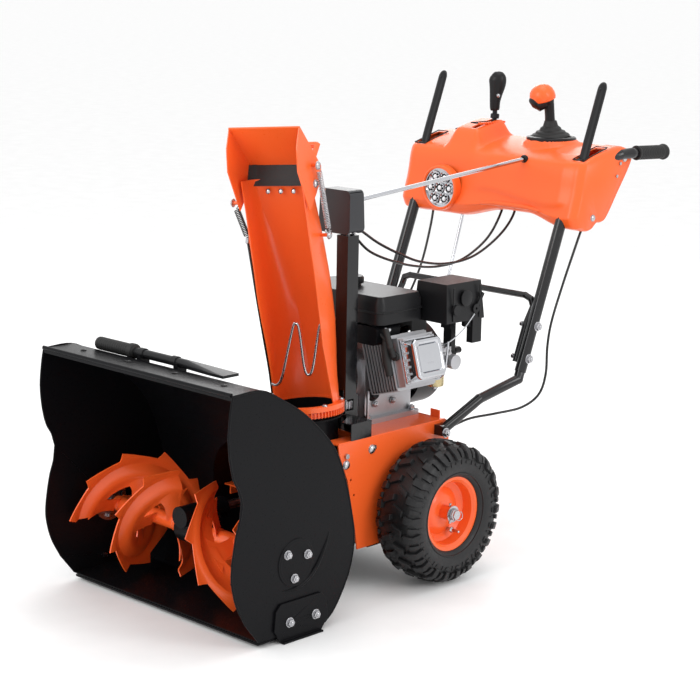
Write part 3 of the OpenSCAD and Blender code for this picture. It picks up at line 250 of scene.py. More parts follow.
class Shape:
    """A mesh being put together from simple forms, then turned into one named piece."""

    def __init__(self):
        self.mesh = bmesh.new()

    def surface(self, rows, close_rows=False, close_ring=False, cap=False):
        """A skin over a grid of points. close_ring joins each row's ends, close_rows the grid's."""
        grid = [[self.mesh.verts.new(p) for p in row] for row in rows]
        count, width = len(grid), len(grid[0])
        for i in range(count if close_rows else count - 1):
            for j in range(width if close_ring else width - 1):
                a, b = grid[i], grid[(i + 1) % count]
                self.mesh.faces.new((a[j], b[j], b[(j + 1) % width], a[(j + 1) % width]))
        if cap:
            self.mesh.faces.new(grid[0])
            self.mesh.faces.new(grid[-1][::-1])

    def lathe(self, profile, place, axis, sides=32, cap=True):
        """(radius, height) in millimetres, turned about an axis through place. cap closes both ends."""
        turn = Vector(axis).normalized().to_track_quat("Z", "Y").to_matrix()
        rows = []
        for radius, height in profile:
            ring = [Vector((radius * cos(a), radius * sin(a), height)) / 1000 for a in turns(sides)]
            rows.append([Vector(place) + turn @ p for p in ring])
        self.surface(rows, close_ring=True, cap=cap)

    def tube(self, points, radius, sides=12, flat=1.0, side=None):
        """A bar along a route. radius, in millimetres, is one or a list; flat squeezes it square to side."""
        radii = radius if isinstance(radius, (list, tuple)) else [radius] * len(points)
        points = [Vector(p) for p in points]
        rows, side = [], Vector(side) if side else None
        for i, p in enumerate(points):
            ahead = (points[min(i + 1, len(points) - 1)] - points[max(i - 1, 0)]).normalized()
            side = ahead.orthogonal() if side is None else side - ahead * side.dot(ahead)
            side.normalize()
            other = ahead.cross(side)
            rows.append([p + radii[i] / 1000 * (side * cos(a) + other * flat * sin(a)) for a in turns(sides)])
        self.surface(rows, close_ring=True, cap=True)

    def slab(self, outline, offset):
        """A flat outline pushed into a solid along offset, in millimetres."""
        low = [Vector(p) for p in outline]
        self.surface([low, [p + Vector(offset) / 1000 for p in low]], close_ring=True, cap=True)

    def bolt(self, place, axis, size=6, head="hex", washer=True):
        """A bolt head standing on place, along axis. size is the shank's radius in millimetres."""
        axis = Vector(axis).normalized()
        place = Vector(place)
        lift = 0
        if washer:
            self.lathe([(size * 2.1, 0), (size * 2.2, 0.4), (size * 2.1, 1.4), (size * 0.6, 1.6)], place,
                       axis, 28)
            lift = 1.4
        if head == "hex":
            self.lathe([(size * 1.7, lift), (size * 1.75, lift + 0.6), (size * 1.75, lift + size * 1.0),
                        (size * 1.5, lift + size * 1.25), (size * 0.9, lift + size * 1.3)], place, axis, 6)
            self.lathe([(size * 0.95, lift + size), (size * 0.95, lift + size * 1.6),
                        (size * 0.7, lift + size * 1.8)], place, axis, 16)
        else:
            self.lathe([(size * 1.9, lift), (size * 1.85, lift + size * 0.35),
                        (size * 1.45, lift + size * 0.75), (size * 0.8, lift + size * 0.98),
                        (size * 0.25, lift + size * 1.05)], place, axis, 28)

    def piece(self, name, slot, body="chassis", surface=None, edge=0, sheet=0, hides=()):
        """Makes the object: material, thickness, rounded edges, and the body that it moves with."""
        bmesh.ops.remove_doubles(self.mesh, verts=self.mesh.verts, dist=1e-6)
        bmesh.ops.recalc_face_normals(self.mesh, faces=self.mesh.faces)
        data = bpy.data.meshes.new(name)
        self.mesh.to_mesh(data)
        self.mesh.free()
        made = bpy.data.objects.new(name, data)
        bpy.context.scene.collection.objects.link(made)
        data.materials.append(surface or SLOT_FINISHES[slot]())
        data.shade_smooth()
        if sheet:
            thick = made.modifiers.new("sheet", "SOLIDIFY")
            thick.thickness = sheet / 1000
            thick.offset = 0
        round_edges(made, edge or 0.3, 2 if edge else 1)
        if body:
            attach(made, body)
        if hides:
            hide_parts(*hides)
        return made


def smooth_route(points, steps=8):
    """A Catmull-Rom curve through the points."""
    points = [Vector(p) for p in points]
    padded = [points[0] * 2 - points[1], *points, points[-1] * 2 - points[-2]]
    route = []
    for a, b, c, d in zip(padded, padded[1:], padded[2:], padded[3:]):
        for k in range(steps):
            t = k / steps
            route.append(0.5 * (2 * b + (c - a) * t + (2 * a - 5 * b + 4 * c - d) * t * t
                                + (3 * b - a - 3 * c + d) * t * t * t))
    return route + [points[-1]]


def path(points, steps=8, place=mm):
    """A smooth route through points in millimetres."""
    return smooth_route([place(*p) for p in points], steps)


def chute_point(x, y, z):
    """A point in the chute's own millimetres, as metres in the row frame, with the chute at rest."""
    p = Vector((x, y, z - 420)) / 1000
    p = Matrix.Rotation(CHUTE_TURN, 3, "Z") @ (Matrix.Rotation(CHUTE_LEAN, 3, "Y") @ p)
    return p + mm(60, -240, 420)


# ---- wheels ----

TYRE_SECTION = [(156, 0), (155.5, 20), (153, 38), (147, 49), (137, 55), (122, 57.5), (106, 56), (93, 50),
                (87, 44)]
TREAD_BLOCKS = [  # corners as (mm round the tread, mm across the section), then the height of the block
    ([(0, 1.5), (13, 1.5), (25, 29), (11, 29)], 8),
    ([(20, 34), (38, 33), (41, 52), (35, 68), (21, 68), (25, 52)], 8),
    ([(3, 44), (15, 44), (15, 64), (5, 64)], 6),
    ([(22, 72), (36, 72), (37, 78), (24, 78)], 2),
    ([(5, 70), (11, 70), (11, 80), (7, 80)], 2),
]
PITCHES = 22
TREAD_PITCH = 45.7  # mm round the tread


def tyre_point(side, turn, across, lift):
    """A point above the tyre: turn in mm round it, across in mm along its section from the middle."""
    reach, sign = 0, 1 if across >= 0 else -1
    for (r0, x0), (r1, x1) in zip(TYRE_SECTION, TYRE_SECTION[1:]):
        step = hypot(r1 - r0, x1 - x0)
        if reach + step >= abs(across):
            break
        reach += step
    t = (abs(across) - reach) / step
    radius = r0 + (r1 - r0) * t + (x1 - x0) / step * lift
    x = x0 + (x1 - x0) * t - (r1 - r0) / step * lift
    angle = 2 * pi * turn / (PITCHES * TREAD_PITCH)
    return mm(side * TRACK_HALF + sign * x, radius * cos(angle), AXLE_HEIGHT + radius * sin(angle))


def add_tyre(side, name):
    """A round carcass with slanted centre blocks and shoulder blocks that run down the wall."""
    tyre = Shape()
    section = smooth_route([Vector((r, x, 0)) for r, x in TYRE_SECTION[::-1]], 4)
    section += [Vector((p.x, -p.y, 0)) for p in section[-2::-1]]
    rows = []
    for a in turns(88):
        rows.append([mm(side * TRACK_HALF + p.y, p.x * cos(a), AXLE_HEIGHT + p.x * sin(a))
                     for p in section])
    tyre.surface(rows, close_rows=True, close_ring=True)
    for pitch in range(PITCHES):
        for half in (1, -1):
            start = (pitch + (0.5 if half < 0 else 0)) * TREAD_PITCH
            for corners, lift in TREAD_BLOCKS:
                middle_turn = sum(c[0] for c in corners) / len(corners)
                middle_across = sum(c[1] for c in corners) / len(corners)
                rings = []
                for scale, height in ((1.1, -1.5), (1.0, lift * 0.9), (0.94, lift), (0.5, lift),
                                      (0.02, lift)):
                    ring = []
                    for a, b in zip(corners, corners[1:] + corners[:1]):
                        for t in (0, 0.5):
                            turn = middle_turn + (a[0] + (b[0] - a[0]) * t - middle_turn) * scale
                            across = middle_across + (a[1] + (b[1] - a[1]) * t - middle_across) * scale
                            ring.append(tyre_point(side, start + turn, half * across, height))
                    rings.append(ring)
                tyre.surface(rings, close_ring=True)
    for rib in (95, 101):
        rows = []
        for radius, x in ((rib, 50.5), (rib + 1, 54), (rib + 3, 54.5), (rib + 4.5, 52)):
            rows.append([mm(side * (TRACK_HALF + x), radius * cos(a), AXLE_HEIGHT + radius * sin(a))
                         for a in turns(72)])
        tyre.surface(rows, close_ring=True)
    tyre.piece(name, "tyre", "axle_body", edge=0.8, hides=("tyres",))


def add_hub(side, name):
    """Castle nut with its spring clip, and the tyre's valve."""
    hub = Shape()
    axis = Vector((side, 0, 0))
    hub.lathe([(19, 0), (19.5, 0.6), (19.5, 1.8), (8, 2)], mm(side * 299.2, 0, AXLE_HEIGHT), axis, 32)
    hub.lathe([(13.5, 0), (14.2, 1), (14.2, 7), (11.8, 8.5), (11.8, 11.8), (6, 12)],
              mm(side * 301.2, 0, AXLE_HEIGHT), axis, 6)
    clip = [(307, -16, 160), (307, 12, 168), (307, 22, 166), (307, 25, 154), (307, 15, 148), (307, 3, 152),
            (307, -6, 149), (307, -20, 152)]
    hub.tube(smooth_route([mm(side * x, y, z) for x, y, z in clip], 5), 1.1, 8)
    hub.piece(name + "_nut", "zinc", "axle_body")
    valve = Shape()
    valve.tube([mm(side * x, 22, 118) for x in (264, 286, 288, 300, 301)], [4.2, 4.2, 3, 3, 2], 14)
    valve.lathe([(7.2, 0), (7.2, 3), (4.5, 6)], mm(side * 276, 22, 118), axis, 20)
    valve.piece(name + "_valve", "chrome", "axle_body")


# ---- augers ----

AUGER_START, AUGER_TURN, AUGER_TEETH = radians(-90), radians(280), 7
AUGER_NEAR, AUGER_FAR = 58, 280


def auger_point(side, x, radius, angle, across=0.0):
    """x in mm from the middle, radius and across in mm, angle about the auger shaft."""
    y = radius * cos(angle) - across * sin(angle)
    z = radius * sin(angle) + across * cos(angle)
    return mm(side * x, AUGER_Y + y, AUGER_Z + z)


def add_auger(side, name):
    """Two toothed ribbons, each pressed with a rolled groove, on flared arms from the tube."""
    auger = Shape()
    for begin in (0, pi):
        count = AUGER_TEETH * 14
        rows = []
        for i in range(count + 1):
            t = i / count
            angle = AUGER_START + begin + AUGER_TURN * t
            x = AUGER_NEAR + (AUGER_FAR - AUGER_NEAR) * t
            bite = (i % 14) / 13
            tooth = 22 * bite ** 2.4 if bite < 0.95 else 8
            row = []
            for j in range(15):
                radius = 60 + (124 - 60) * j / 12 if j < 13 else 124 + tooth * (j - 12) / 2
                dish = 8 * exp(-((radius - 110) / 9) ** 2) - 6 * exp(-((radius - 82) / 13) ** 2)
                lean = 0.035 * bite * max(0, (radius - 124) / 22)
                row.append(auger_point(side, x + dish, radius, angle + lean))
            rows.append(row)
        auger.surface(rows)
        for t in (0.06, 0.35, 0.64, 0.94):
            angle = AUGER_START + begin + AUGER_TURN * t
            x = AUGER_NEAR + (AUGER_FAR - AUGER_NEAR) * t
            rows = []
            for i in range(13):
                radius = 13 + 62 * i / 12
                flare = max(0, (radius - 42) / 33)
                half = 15 + 20 * flare * flare + 3 * max(0, 1 - (radius - 13) / 12)
                rows.append([auger_point(side, x + 52 * s * half / 80 - 5 * flare * (1 - s * s), radius,
                                         angle, s * half) for s in (-1, -0.66, -0.33, 0, 0.33, 0.66, 1)])
            auger.surface(rows)
    auger.piece(name + "_ribbons", "orange_sheet", "auger_body", sheet=3, edge=0.6)
    sleeve = Shape()
    sleeve.lathe([(16.5, 0), (17.2, 1), (17.2, 227), (16.5, 228), (11, 228)],
                 mm(side * 52, AUGER_Y, AUGER_Z), (side, 0, 0), 40)
    for x in (70, 168, 266):
        sleeve.lathe([(16.8, -4), (18.8, -2), (18.8, 2), (16.8, 4)], mm(side * x, AUGER_Y, AUGER_Z),
                     (side, 0, 0), 40)
    sleeve.piece(name + "_tube", "orange_sheet", "auger_body", hides=(name,))


# ---- control panel ----

PANEL_OUTLINE = [(426, 800), (436, 780), (451, 774), (489, 768), (517, 785), (550, 791), (600, 858),
                 (636, 908), (652, 938), (648, 953), (630, 961), (600, 966), (538, 957), (476, 939),
                 (456, 918), (444, 860)]
PANEL_HALF = 284
STICK = (87, 578)


def ramp(value, low, high):
    """0 below low, 1 above high, smooth between."""
    t = min(1.0, max(0.0, (value - low) / (high - low)))
    return t * t * (3 - 2 * t)


def panel_point(x, y, z):
    """The moulding's swell at one point of its outline: arch, hump, stick ring and sweep of the face."""
    arch = ramp(x, -96, 56) * (1 - ramp(x, 126, 244))
    if z < 815:
        z += arch * 27 * (1 - ramp(z, 790, 815))
    front = 1 - ramp(y, 455, 490)
    sweep = ramp(x, -70, 0) * (1 - ramp(x, 225, 262))
    y -= front * sweep * 7 * ramp(z, 826 + 10 * cos(x / 60), 846 + 10 * cos(x / 60))
    y += front * 9 * ramp(abs(x), 262, 284)
    if z > 900:
        hump = ramp(x, -176, -146) * (1 - ramp(x, -86, -54)) * ramp(y, 456, 496) * (1 - ramp(y, 588, 618))
        z += 40 * hump
        away = hypot(x - STICK[0], y - STICK[1])
        z += max(0, 971 - z) * (1 - ramp(away, 60, 72))
        z -= 7 * ramp(x, 150, 176) * (1 - ramp(x, 214, 236)) * ramp(y, 500, 520) * (1 - ramp(y, 606, 630))
    return x, y, z


def panel_gap(x, y, z):
    """True where the moulding is open: stick hole, lever slot, paddle slots and the underside."""
    if z > 900:
        stick = hypot(x - STICK[0], y - STICK[1]) < 52
        lever = -108 < x < -92 and 500 < y < 606
        paddle = abs(abs(x) - PADDLE_OUT) < 16 and 472 < y < 560
        return stick or lever or paddle
    return abs(x) < 228 and 458 < y < 556 and z < 826


def add_panel():
    """The orange moulding as one skin, swept end to end and bent by panel_point, with its openings cut."""
    outline = smooth_route([Vector((0, y, z)) for y, z in PANEL_OUTLINE + PANEL_OUTLINE[:1]], 12)[:-1]
    middle = Vector((0, 540, 870))
    stations = [-PANEL_HALF + 4 * k for k in range(int(PANEL_HALF / 2) + 1)]
    rows = []
    for x in stations:
        shrink = 1 - 0.05 * max(0, (abs(x) - PANEL_HALF + 12) / 12) ** 2
        rows.append([panel_point(x, *(middle + (p - middle) * shrink)[1:]) for p in outline])
    panel = Shape()
    skin = panel.mesh
    grid = [[skin.verts.new(mm(*p)) for p in row] for row in rows]
    width = len(outline)
    for a, b, low, high in zip(grid, grid[1:], rows, rows[1:]):
        for j in range(width):
            k = (j + 1) % width
            centre = [(low[j][i] + high[k][i]) / 2 for i in range(3)]
            if not panel_gap(*centre):
                skin.faces.new((a[j], b[j], b[k], a[k]))
    skin.faces.new(grid[0])
    skin.faces.new(grid[-1][::-1])
    made = panel.piece("panel_moulding", "orange_plastic", hides=("control_panel",))
    made.modifiers.clear()
    shell = made.modifiers.new("wall", "SOLIDIFY")
    shell.thickness = 0.003
    shell.offset = -1


def add_panel_trim():
    """Notches beside the speed lever, rims round the openings, and the end screws."""
    trim = Shape()
    for k in range(11):
        y = 503.75 + 9.2 * k
        trim.slab([mm(x, y + dy, 996.5) for x, dy in ((-92, 0), (-80, 0), (-80, 4.5), (-92, 4.5))],
                  (0, 0, 5))
    trim.piece("quadrant_notches", "orange_plastic", edge=1.2)
    rims = Shape()
    for side in (-1, 1):
        rims.tube([mm(side * PADDLE_OUT + dx, y, z) for dx, y, z in
                   ((-17, 471, 940), (-17, 561, 965), (17, 561, 965), (17, 471, 940), (-17, 471, 940))], 1.5,
                  8)
    rims.tube([mm(x, y, z) for x, y, z in ((-109, 499, 1000), (-109, 600, 1000), (-91, 600, 1000),
                                           (-91, 499, 1000), (-109, 499, 1000))], 1.8, 8)
    rows = []
    for radius, z in ((50.5, 966), (50.5, 976), (52.5, 977.5), (60, 976), (62, 973.5), (62, 966)):
        rows.append([mm(STICK[0] + radius * cos(a), STICK[1] + radius * sin(a), z)
                     for a in turns(60)])
    rims.surface(rows, close_ring=True)
    rod_way = (mm(104, 436, 928) - mm(90, -133, 872)).normalized()
    rims.lathe([(6.2, -6), (9.8, -5), (10.5, 0), (8.5, 4), (6.2, 4.5)], mm(104, 436, 928) + 0.019 * rod_way,
               rod_way, 28, cap=False)
    rims.piece("panel_rims", "black_plastic")
    screws = Shape()
    for side in (-1, 1):
        for y, z in ((618, 936), (500, 800)):
            screws.bolt(mm(side * 283.5, y, z), (side, 0, 0), 4, "round")
    screws.piece("panel_screws", "zinc")


def add_headlight():
    """Seven lamps in their cups inside an orange ring."""
    cups = Shape()
    centre = Vector((-140, 424, 838))
    spots = [(0, 0)] + [(31 * cos(k * pi / 3), 31 * sin(k * pi / 3)) for k in range(6)]
    for x, z in spots:
        place = mm(centre.x + x, centre.y, centre.z + z)
        cups.lathe([(14.8, 3), (15.2, 4.5), (14.6, 5.2), (8.5, 1.5), (4, -2)], place, (0, -1, 0), 28)
    cups.lathe([(48.8, -4), (48.8, 0.4), (20, 1), (0.5, 1)], mm(*centre), (0, -1, 0), 48)
    cups.piece("lamp_cups", "chrome", edge=0.2)
    lens = Shape()
    for x, z in spots:
        place = mm(centre.x + x, centre.y, centre.z + z)
        lens.lathe([(6.8, 0), (6.2, 3.5), (4, 6), (1, 6.8)], place, (0, -1, 0), 20)
        for k in range(8):
            angle = k * pi / 4 + 0.3
            dot = place + Vector((0.0108 * cos(angle), -0.0042, 0.0108 * sin(angle)))
            lens.lathe([(1.8, -1), (1.4, 0.8), (0.4, 1.4)], dot, (0, -1, 0), 8)
    lens.piece("lamp_lenses", "chrome", surface=finish("lamp_lens", (0.85, 0.87, 0.9), 0.12, spread=0.05,
                                                       bump=0.1, gleam=0.8))
    bezel = Shape()
    bezel.lathe([(48.5, 4), (49.5, 9), (52.5, 10.5), (55.8, 8), (57, 0), (57, -12)], mm(-140, 426, 838),
                (0, -1, 0), 64, cap=False)
    bezel.piece("lamp_bezel", "orange_plastic")


# ---- levers, stick and grips ----


def stick_point(x, y, z):
    """A point in millimetres about the chute stick's pivot."""
    return mm(STICK[0] + x, STICK[1] + y, 946 + z)


def add_stick():
    """Pleated boot, waisted stem and hooked two colour knob."""
    boot = Shape()
    boot.lathe([(20, 24), (46, 27), (48, 29), (45, 33), (38, 36), (36, 40), (28, 43), (25, 49), (19, 53),
                (16.5, 61), (15, 66), (8, 67)], stick_point(0, -1, 4), (0, -0.07, 1), 56)
    boot.piece("stick_boot", "rubber", "joystick_body")
    stem = Shape()
    bar = path(((0, -5, 52), (0, -8, 72), (0, -11, 94), (0, -15, 112)), 5, stick_point)
    hook = path(((0, -15, 112), (-6, -20, 122), (-13, -30, 117), (-20, -42, 110), (-24, -48, 103)), 5,
                stick_point)[1:]
    waist = [13.8 - 1.6 * sin(pi * k / len(bar)) for k in range(len(bar))]
    swell = [14 + 7 * sin(pi * min(0.97, (k + 4) / len(hook)) * 0.62) for k in range(len(hook) - 4)]
    stem.tube(bar + hook, waist + swell + [18.5, 15, 9, 2], 26)
    stem.piece("stick_stem", "black_plastic", "joystick_body", hides=("joystick",))
    knob = Shape()
    knob.lathe([(0.5, 33), (11, 31.8), (21, 26.8), (28.5, 18), (31.8, 7), (32.2, -2), (30.5, -8), (26, -10),
                (19, -9.5)], stick_point(-11, -26, 127), (-0.16, -0.26, 1), 52)
    knob.piece("stick_knob", "orange_plastic", "joystick_body")


def add_shift_knob():
    """The speed lever: contoured black grip, bar and screw."""
    knob = Shape()
    shape = [(-100, 580, 1028, 11), (-100, 579.5, 1034, 12.5), (-99.5, 579, 1050, 13.5),
             (-98.5, 581, 1070, 16.5), (-97.5, 584, 1090, 20.5), (-98, 585, 1106, 22),
             (-99.2, 583.6, 1116, 18.5), (-100, 582, 1121.5, 12.5), (-100.4, 581, 1124.5, 6),
             (-100.5, 580.8, 1125.5, 1)]
    outline = smooth_route([mm(x, y, z) for x, y, z, r in shape], 4)
    widths = smooth_route([Vector((r, 0, 0)) for x, y, z, r in shape], 4)
    knob.tube(outline, [w.x for w in widths], 30, flat=0.72, side=(0.8, 0.6, 0))
    knob.piece("shift_knob", "black_plastic", "shift_body", hides=("shift_lever",))
    lever = Shape()
    lever.lathe([(6, -5), (11.8, -4.6), (11.8, 4.6), (6, 5)], mm(-100, 560, 905), (1, 0, 0), 30)
    lever.tube([mm(-100, 560, 905), mm(-100, 571, 960), mm(-100, 581, 1014), mm(-100, 580, 1030)], 6.2, 16)
    lever.lathe([(9, -3), (11.2, -2), (11.2, 8), (9, 10)], mm(-100, 580.5, 1010), (0, 0.1, 1), 24)
    lever.tube([mm(-100, 560, 905), mm(-100, 518, 928.2)], 4.5, 14)
    lever.tube([mm(-100, 518, 928.2), mm(-116, 518, 928.2)], 3, 12)
    lever.piece("shift_lever_bar", "black_plastic", "shift_body")
    pin = Shape()
    pin.bolt(mm(-86, 575, 1066), (0.9, -0.3, 0), 2.6, "round", washer=False)
    pin.piece("shift_knob_screw", "zinc", "shift_body")


def add_paddles():
    """Two clutch paddles: flat bars with rounded edges and round tips."""
    for side, label in ((1, "left"), (-1, "right")):
        paddle = Shape()
        shape = [(487, 924, 10), (488, 930, 12.6), (500, 966, 13), (530, 1044, 13), (551, 1100, 13),
                 (555, 1111, 11.6), (557.5, 1117, 8.5), (558.8, 1120, 4.5), (559.2, 1121, 0.8)]
        route = smooth_route([mm(side * PADDLE_OUT, y, z) for y, z, r in shape], 3)
        widths = smooth_route([Vector((r, 0, 0)) for y, z, r in shape], 3)
        paddle.tube(route, [w.x for w in widths], 24, flat=0.5, side=(1, 0, 0))
        paddle.lathe([(5, -13), (9, -12.5), (9, 12.5), (5, 13)], mm(side * PADDLE_OUT, 486, 932), (1, 0, 0),
                     26)
        paddle.bolt(mm(side * PADDLE_OUT, 545.5, 1104), (0, -0.93, 0.36), 1.8, "round", washer=False)
        paddle.piece("clutch_paddle_" + label, "black_plastic", "paddle_" + label + "_body",
                     hides=("paddle_" + label,))


def add_grips():
    """Ribbed rubber grips with a rounded end."""
    grips = Shape()
    for side in (-1, 1):
        near, far = mm(side * 288.5, 656, 947.5), mm(side * 292, 762, 944)
        reach = (far - near).length * 1000
        profile = [(14.5, 0), (17.5, 0.5), (18.2, 3), (17.5, 6)]
        for k in range(13):
            start = 10 + k * 6.8
            profile += [(15.8, start), (17.2, start + 1.2), (17.2, start + 4.4), (15.8, start + 5.6)]
        profile += [(16.5, reach - 2), (19, reach), (19.8, reach + 3), (19, reach + 6.5), (12, reach + 8.2),
                    (0.5, reach + 8.6)]
        grips.lathe(profile, near, far - near, 36)
    grips.piece("ribbed_grips", "rubber", hides=("grips",))


# ---- cables ----

CABLE_ROUTES = {
    "auger_cable": [(-200, 480, 840), (-200, 470, 790), (-198, 455, 730), (-194, 420, 640), (-192, 370, 560),
                    (-189, 300, 490), (-190, 210, 430), (-175, 130, 385), (-165, 90, 353)],
    "drive_cable": [(262, 502, 830), (262, 500, 800), (262, 470, 740), (262, 425, 650), (262, 385, 560),
                    (262, 372, 500), (260, 372, 430), (250, 360, 380), (232, 320, 352), (205, 260, 342),
                    (190, 190, 340), (186, 150, 335), (180, 113, 325)],
    "chute_cable": [(62, 492, 842), (60, 470, 782), (56, 420, 735), (56, 330, 697), (60, 230, 690),
                    (66, 130, 705), (73, 50, 732), (80, -30, 766), (87, -88, 797), (91, -117, 813)],
    "deflector_cable": [(22, 492, 842), (20, 470, 782), (16, 425, 725), (14, 340, 684), (18, 240, 676),
                        (28, 140, 690), (39, 50, 714), (51, -30, 744), (66, -88, 780), (77, -117, 803)],
}


def add_cables():
    """The four control cables, each with a ferrule at both ends."""
    ferrules = Shape()
    for name, route in CABLE_ROUTES.items():
        points = path(route, 10)
        cable = Shape()
        cable.tube(points, 3.1, 14)
        cable.piece(name, "cable", hides=("control_cables",))
        for end, after in ((points[0], points[3]), (points[-1], points[-4])):
            ferrules.lathe([(3.4, 0), (4.4, 1), (4.4, 14), (3.4, 16)], end, after - end, 18)
    ferrules.piece("cable_ferrules", "zinc")


# ---- chute ----


def coil(shape, low, high, radius, wire, rounds):
    """A close spring between two points, with a hook at each end. radius and wire are in millimetres."""
    axis = (high - low).normalized()
    side = axis.orthogonal().normalized()
    other = axis.cross(side)
    radius /= 1000
    count = rounds * 14
    route = [low - axis * 0.008 + side * radius, low - axis * 0.004]
    for k in range(count + 1):
        angle = 2 * pi * k / 14
        route.append(low + (high - low) * (k / count)
                     + (side * cos(angle) + other * sin(angle)) * radius)
    route += [high + axis * 0.004, high + axis * 0.008 + side * radius]
    shape.tube(route, wire, 7)


CHUTE_ACROSS = Matrix.Rotation(CHUTE_TURN, 3, "Z") @ Vector((1, 0, 0))


def add_guard_wire():
    """The bent wire that keeps a hand out of the spout."""
    guard = Shape()
    route = [(-72, -20, 466), (-56, -24, 466), (-40, -26, 490), (-8, -26, 596), (0, -26, 606), (8, -26, 596),
             (16, -26, 510), (26, -26, 492), (38, -26, 510), (58, -26, 596), (66, -26, 608), (74, -26, 609)]
    guard.tube(path(route, 6, chute_point), 3.1, 12)
    guard.piece("spout_guard_wire", "zinc", "chute_body")


def add_deflector_springs():
    """Two springs from the chute to the deflector, with the bolts that hold their ends."""
    for label, low, high, radius, wire, rounds, spring_slot in (
            ("left", (-90, -62, 808), (-94, -92, 868), 6.2, 1.3, 16, "black_tube"),
            ("right", (97, -31, 822), (99, -64, 948), 5.6, 1.1, 34, "zinc")):
        spring = Shape()
        coil(spring, chute_point(*low), chute_point(*high), radius, wire, rounds)
        made = spring.piece("deflector_spring_" + label, spring_slot, "chute_body",
                            hides=("deflector_springs",))
        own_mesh(made)
    ends = Shape()
    ends.bolt(chute_point(95, -26, 806), CHUTE_ACROSS, 4.5, "round")
    ends.bolt(chute_point(-95, -26, 806), -CHUTE_ACROSS, 4.5, "round")
    ends.lathe([(3, -8), (5.2, -6), (5.2, 6), (3, 8)], chute_point(-89.5, -60, 797), (0.05, 0.1, 1), 20)
    ends.piece("spring_anchors", "zinc", "chute_body")
    tops = Shape()
    tops.bolt(chute_point(99, -70, 962), CHUTE_ACROSS, 4.5, "round")
    tops.bolt(chute_point(-99, -96, 884), -CHUTE_ACROSS, 4.5, "round")
    tops.piece("spring_pins", "zinc", "deflector_body")


def add_deflector_fittings():
    """The deflector's pull cable and its orange lifting loop."""
    cable = Shape()
    cable.tube(path(((-89.5, -60, 792), (-87, -54, 740), (-84, -44, 660), (-82, -30, 580), (-82, -12, 500),
                     (-84, 0, 440)), 8, chute_point), 3)
    cable.piece("deflector_pull_cable", "cable", "chute_body")
    loop = Shape()
    loop.tube(path(((-33, 2, 930), (-33, 30, 962), (-33, 58, 994), (-30, 61, 998), (0, 61, 998),
                    (30, 61, 998), (33, 58, 994), (33, 30, 962), (33, 2, 930)), 4, chute_point), 6.8, 14,
              flat=0.55, side=(1, 0, 0))
    loop.piece("deflector_loop", "orange_sheet", "deflector_body")


def add_hinge_strip():
    """The rubber strip that closes the gap between chute and deflector, and its rivets."""
    strip = Shape()
    rows = []
    for y, z in ((-49.5, 916), (-48.5, 928), (-45.5, 940), (-41.5, 952), (-38.5, 962)):
        rows.append([chute_point(x, y - 6 * ramp(abs(x), 62, 84), z) for x in range(-84, 85, 6)])
    strip.surface(rows)
    made = strip.piece("hinge_strip", "rubber", None, sheet=2.2, hides=("hinge_flap",))
    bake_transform(made)
    seam = Shape()
    for x in (-40, -8, 24):
        seam.bolt(chute_point(x, -45, 904), -(Matrix.Rotation(CHUTE_TURN, 3, "Z") @ Vector((0, 1, -0.2))),
                  3.2, "round", washer=False)
    seam.piece("hinge_rivets", "zinc", "chute_body")


def add_chute_rivets():
    """Round heads on the deflector's sides and on the chute's ring."""
    rivets = Shape()
    for side in (-1, 1):
        for y, z in ((-30, 905), (-62, 922)):
            rivets.bolt(chute_point(side * 87.2, y, z), CHUTE_ACROSS * side, 4.2, "round")
        rivets.bolt(chute_point(side * 79.5, -10, 812), CHUTE_ACROSS * side, 2.4, "round", washer=False)
    rivets.piece("deflector_rivets", "zinc", "deflector_body")
    ring = Shape()
    for k in range(6):
        angle = radians(30 + 60 * k)
        ring.bolt(chute_point(81 * cos(angle), 81 * sin(angle), 425.2), (0, 0, 1), 3, "round")
    ring.piece("ring_rivets", "zinc", "chute_body")


# ---- housing ----


def add_plate_bolts():
    """Bolts of the auger bearings and of the skid shoes."""
    bolts = Shape()
    for side in (-1, 1):
        for turn in (20, 140, 260):
            angle = radians(turn)
            bolts.bolt(mm(side * 313.2, AUGER_Y + 34 * cos(angle), AUGER_Z + 34 * sin(angle)), (side, 0, 0),
                       4.8)
        for y, z in ((-530, 41), (-454, 41)):
            bolts.bolt(mm(side * 316.2, y, z), (side, 0, 0), 5.2)
    bolts.piece("plate_bolts", "zinc")


def add_plate_pressings():
    """The dish and the crease pressed into each side plate, and the plate's rolled rim."""
    for side, label in ((-1, "right"), (1, "left")):
        press = Shape()
        rows = []
        for radius, lift in ((53, 0.0), (50, 1.4), (46, 2.4), (42, 1.9), (38, 0.9), (20, 1.1), (4, 1.3)):
            rows.append([mm(side * (311 + lift), AUGER_Y + radius * cos(a), AUGER_Z + radius * sin(a))
                         for a in turns(60)])
        press.surface(rows, close_ring=True)
        crease = smooth_route([mm(side * 310.6, y, z) for y, z in
                               ((-548, 112), (-512, 110), (-478, 121), (-448, 146), (-424, 184),
                                (-412, 214))], 6)
        press.tube(crease, [0.9 + 4.6 * sin(pi * k / (len(crease) - 1)) for k in range(len(crease))], 14)
        press.piece("pressed_dish_" + label, "black_sheet")
        rim = Shape()
        outline = [(-690, 552), (-611, 552), (-552, 524), (-491, 486), (-429, 431), (-395, 390), (-371, 340),
                   (-352, 280), (-338, 220), (-334, 180), (-340, 139), (-352, 104), (-370, 70), (-394, 36),
                   (-420, 15)]
        rim.tube(smooth_route([mm(side * 310, y - 1, z - 1.5) for y, z in outline], 5), 2.4, 10)
        front = [(-652, 62), (-678, 110), (-691, 160), (-690, 200), (-680, 255), (-668, 292), (-664, 325),
                 (-672, 352), (-687, 379), (-697, 420), (-701, 469), (-696, 520), (-690, 552)]
        rim.tube(smooth_route([mm(side * 310, y + 2.5, z) for y, z in front], 5), 2.4, 10)
        rim.piece("plate_rim_" + label, "black_sheet")


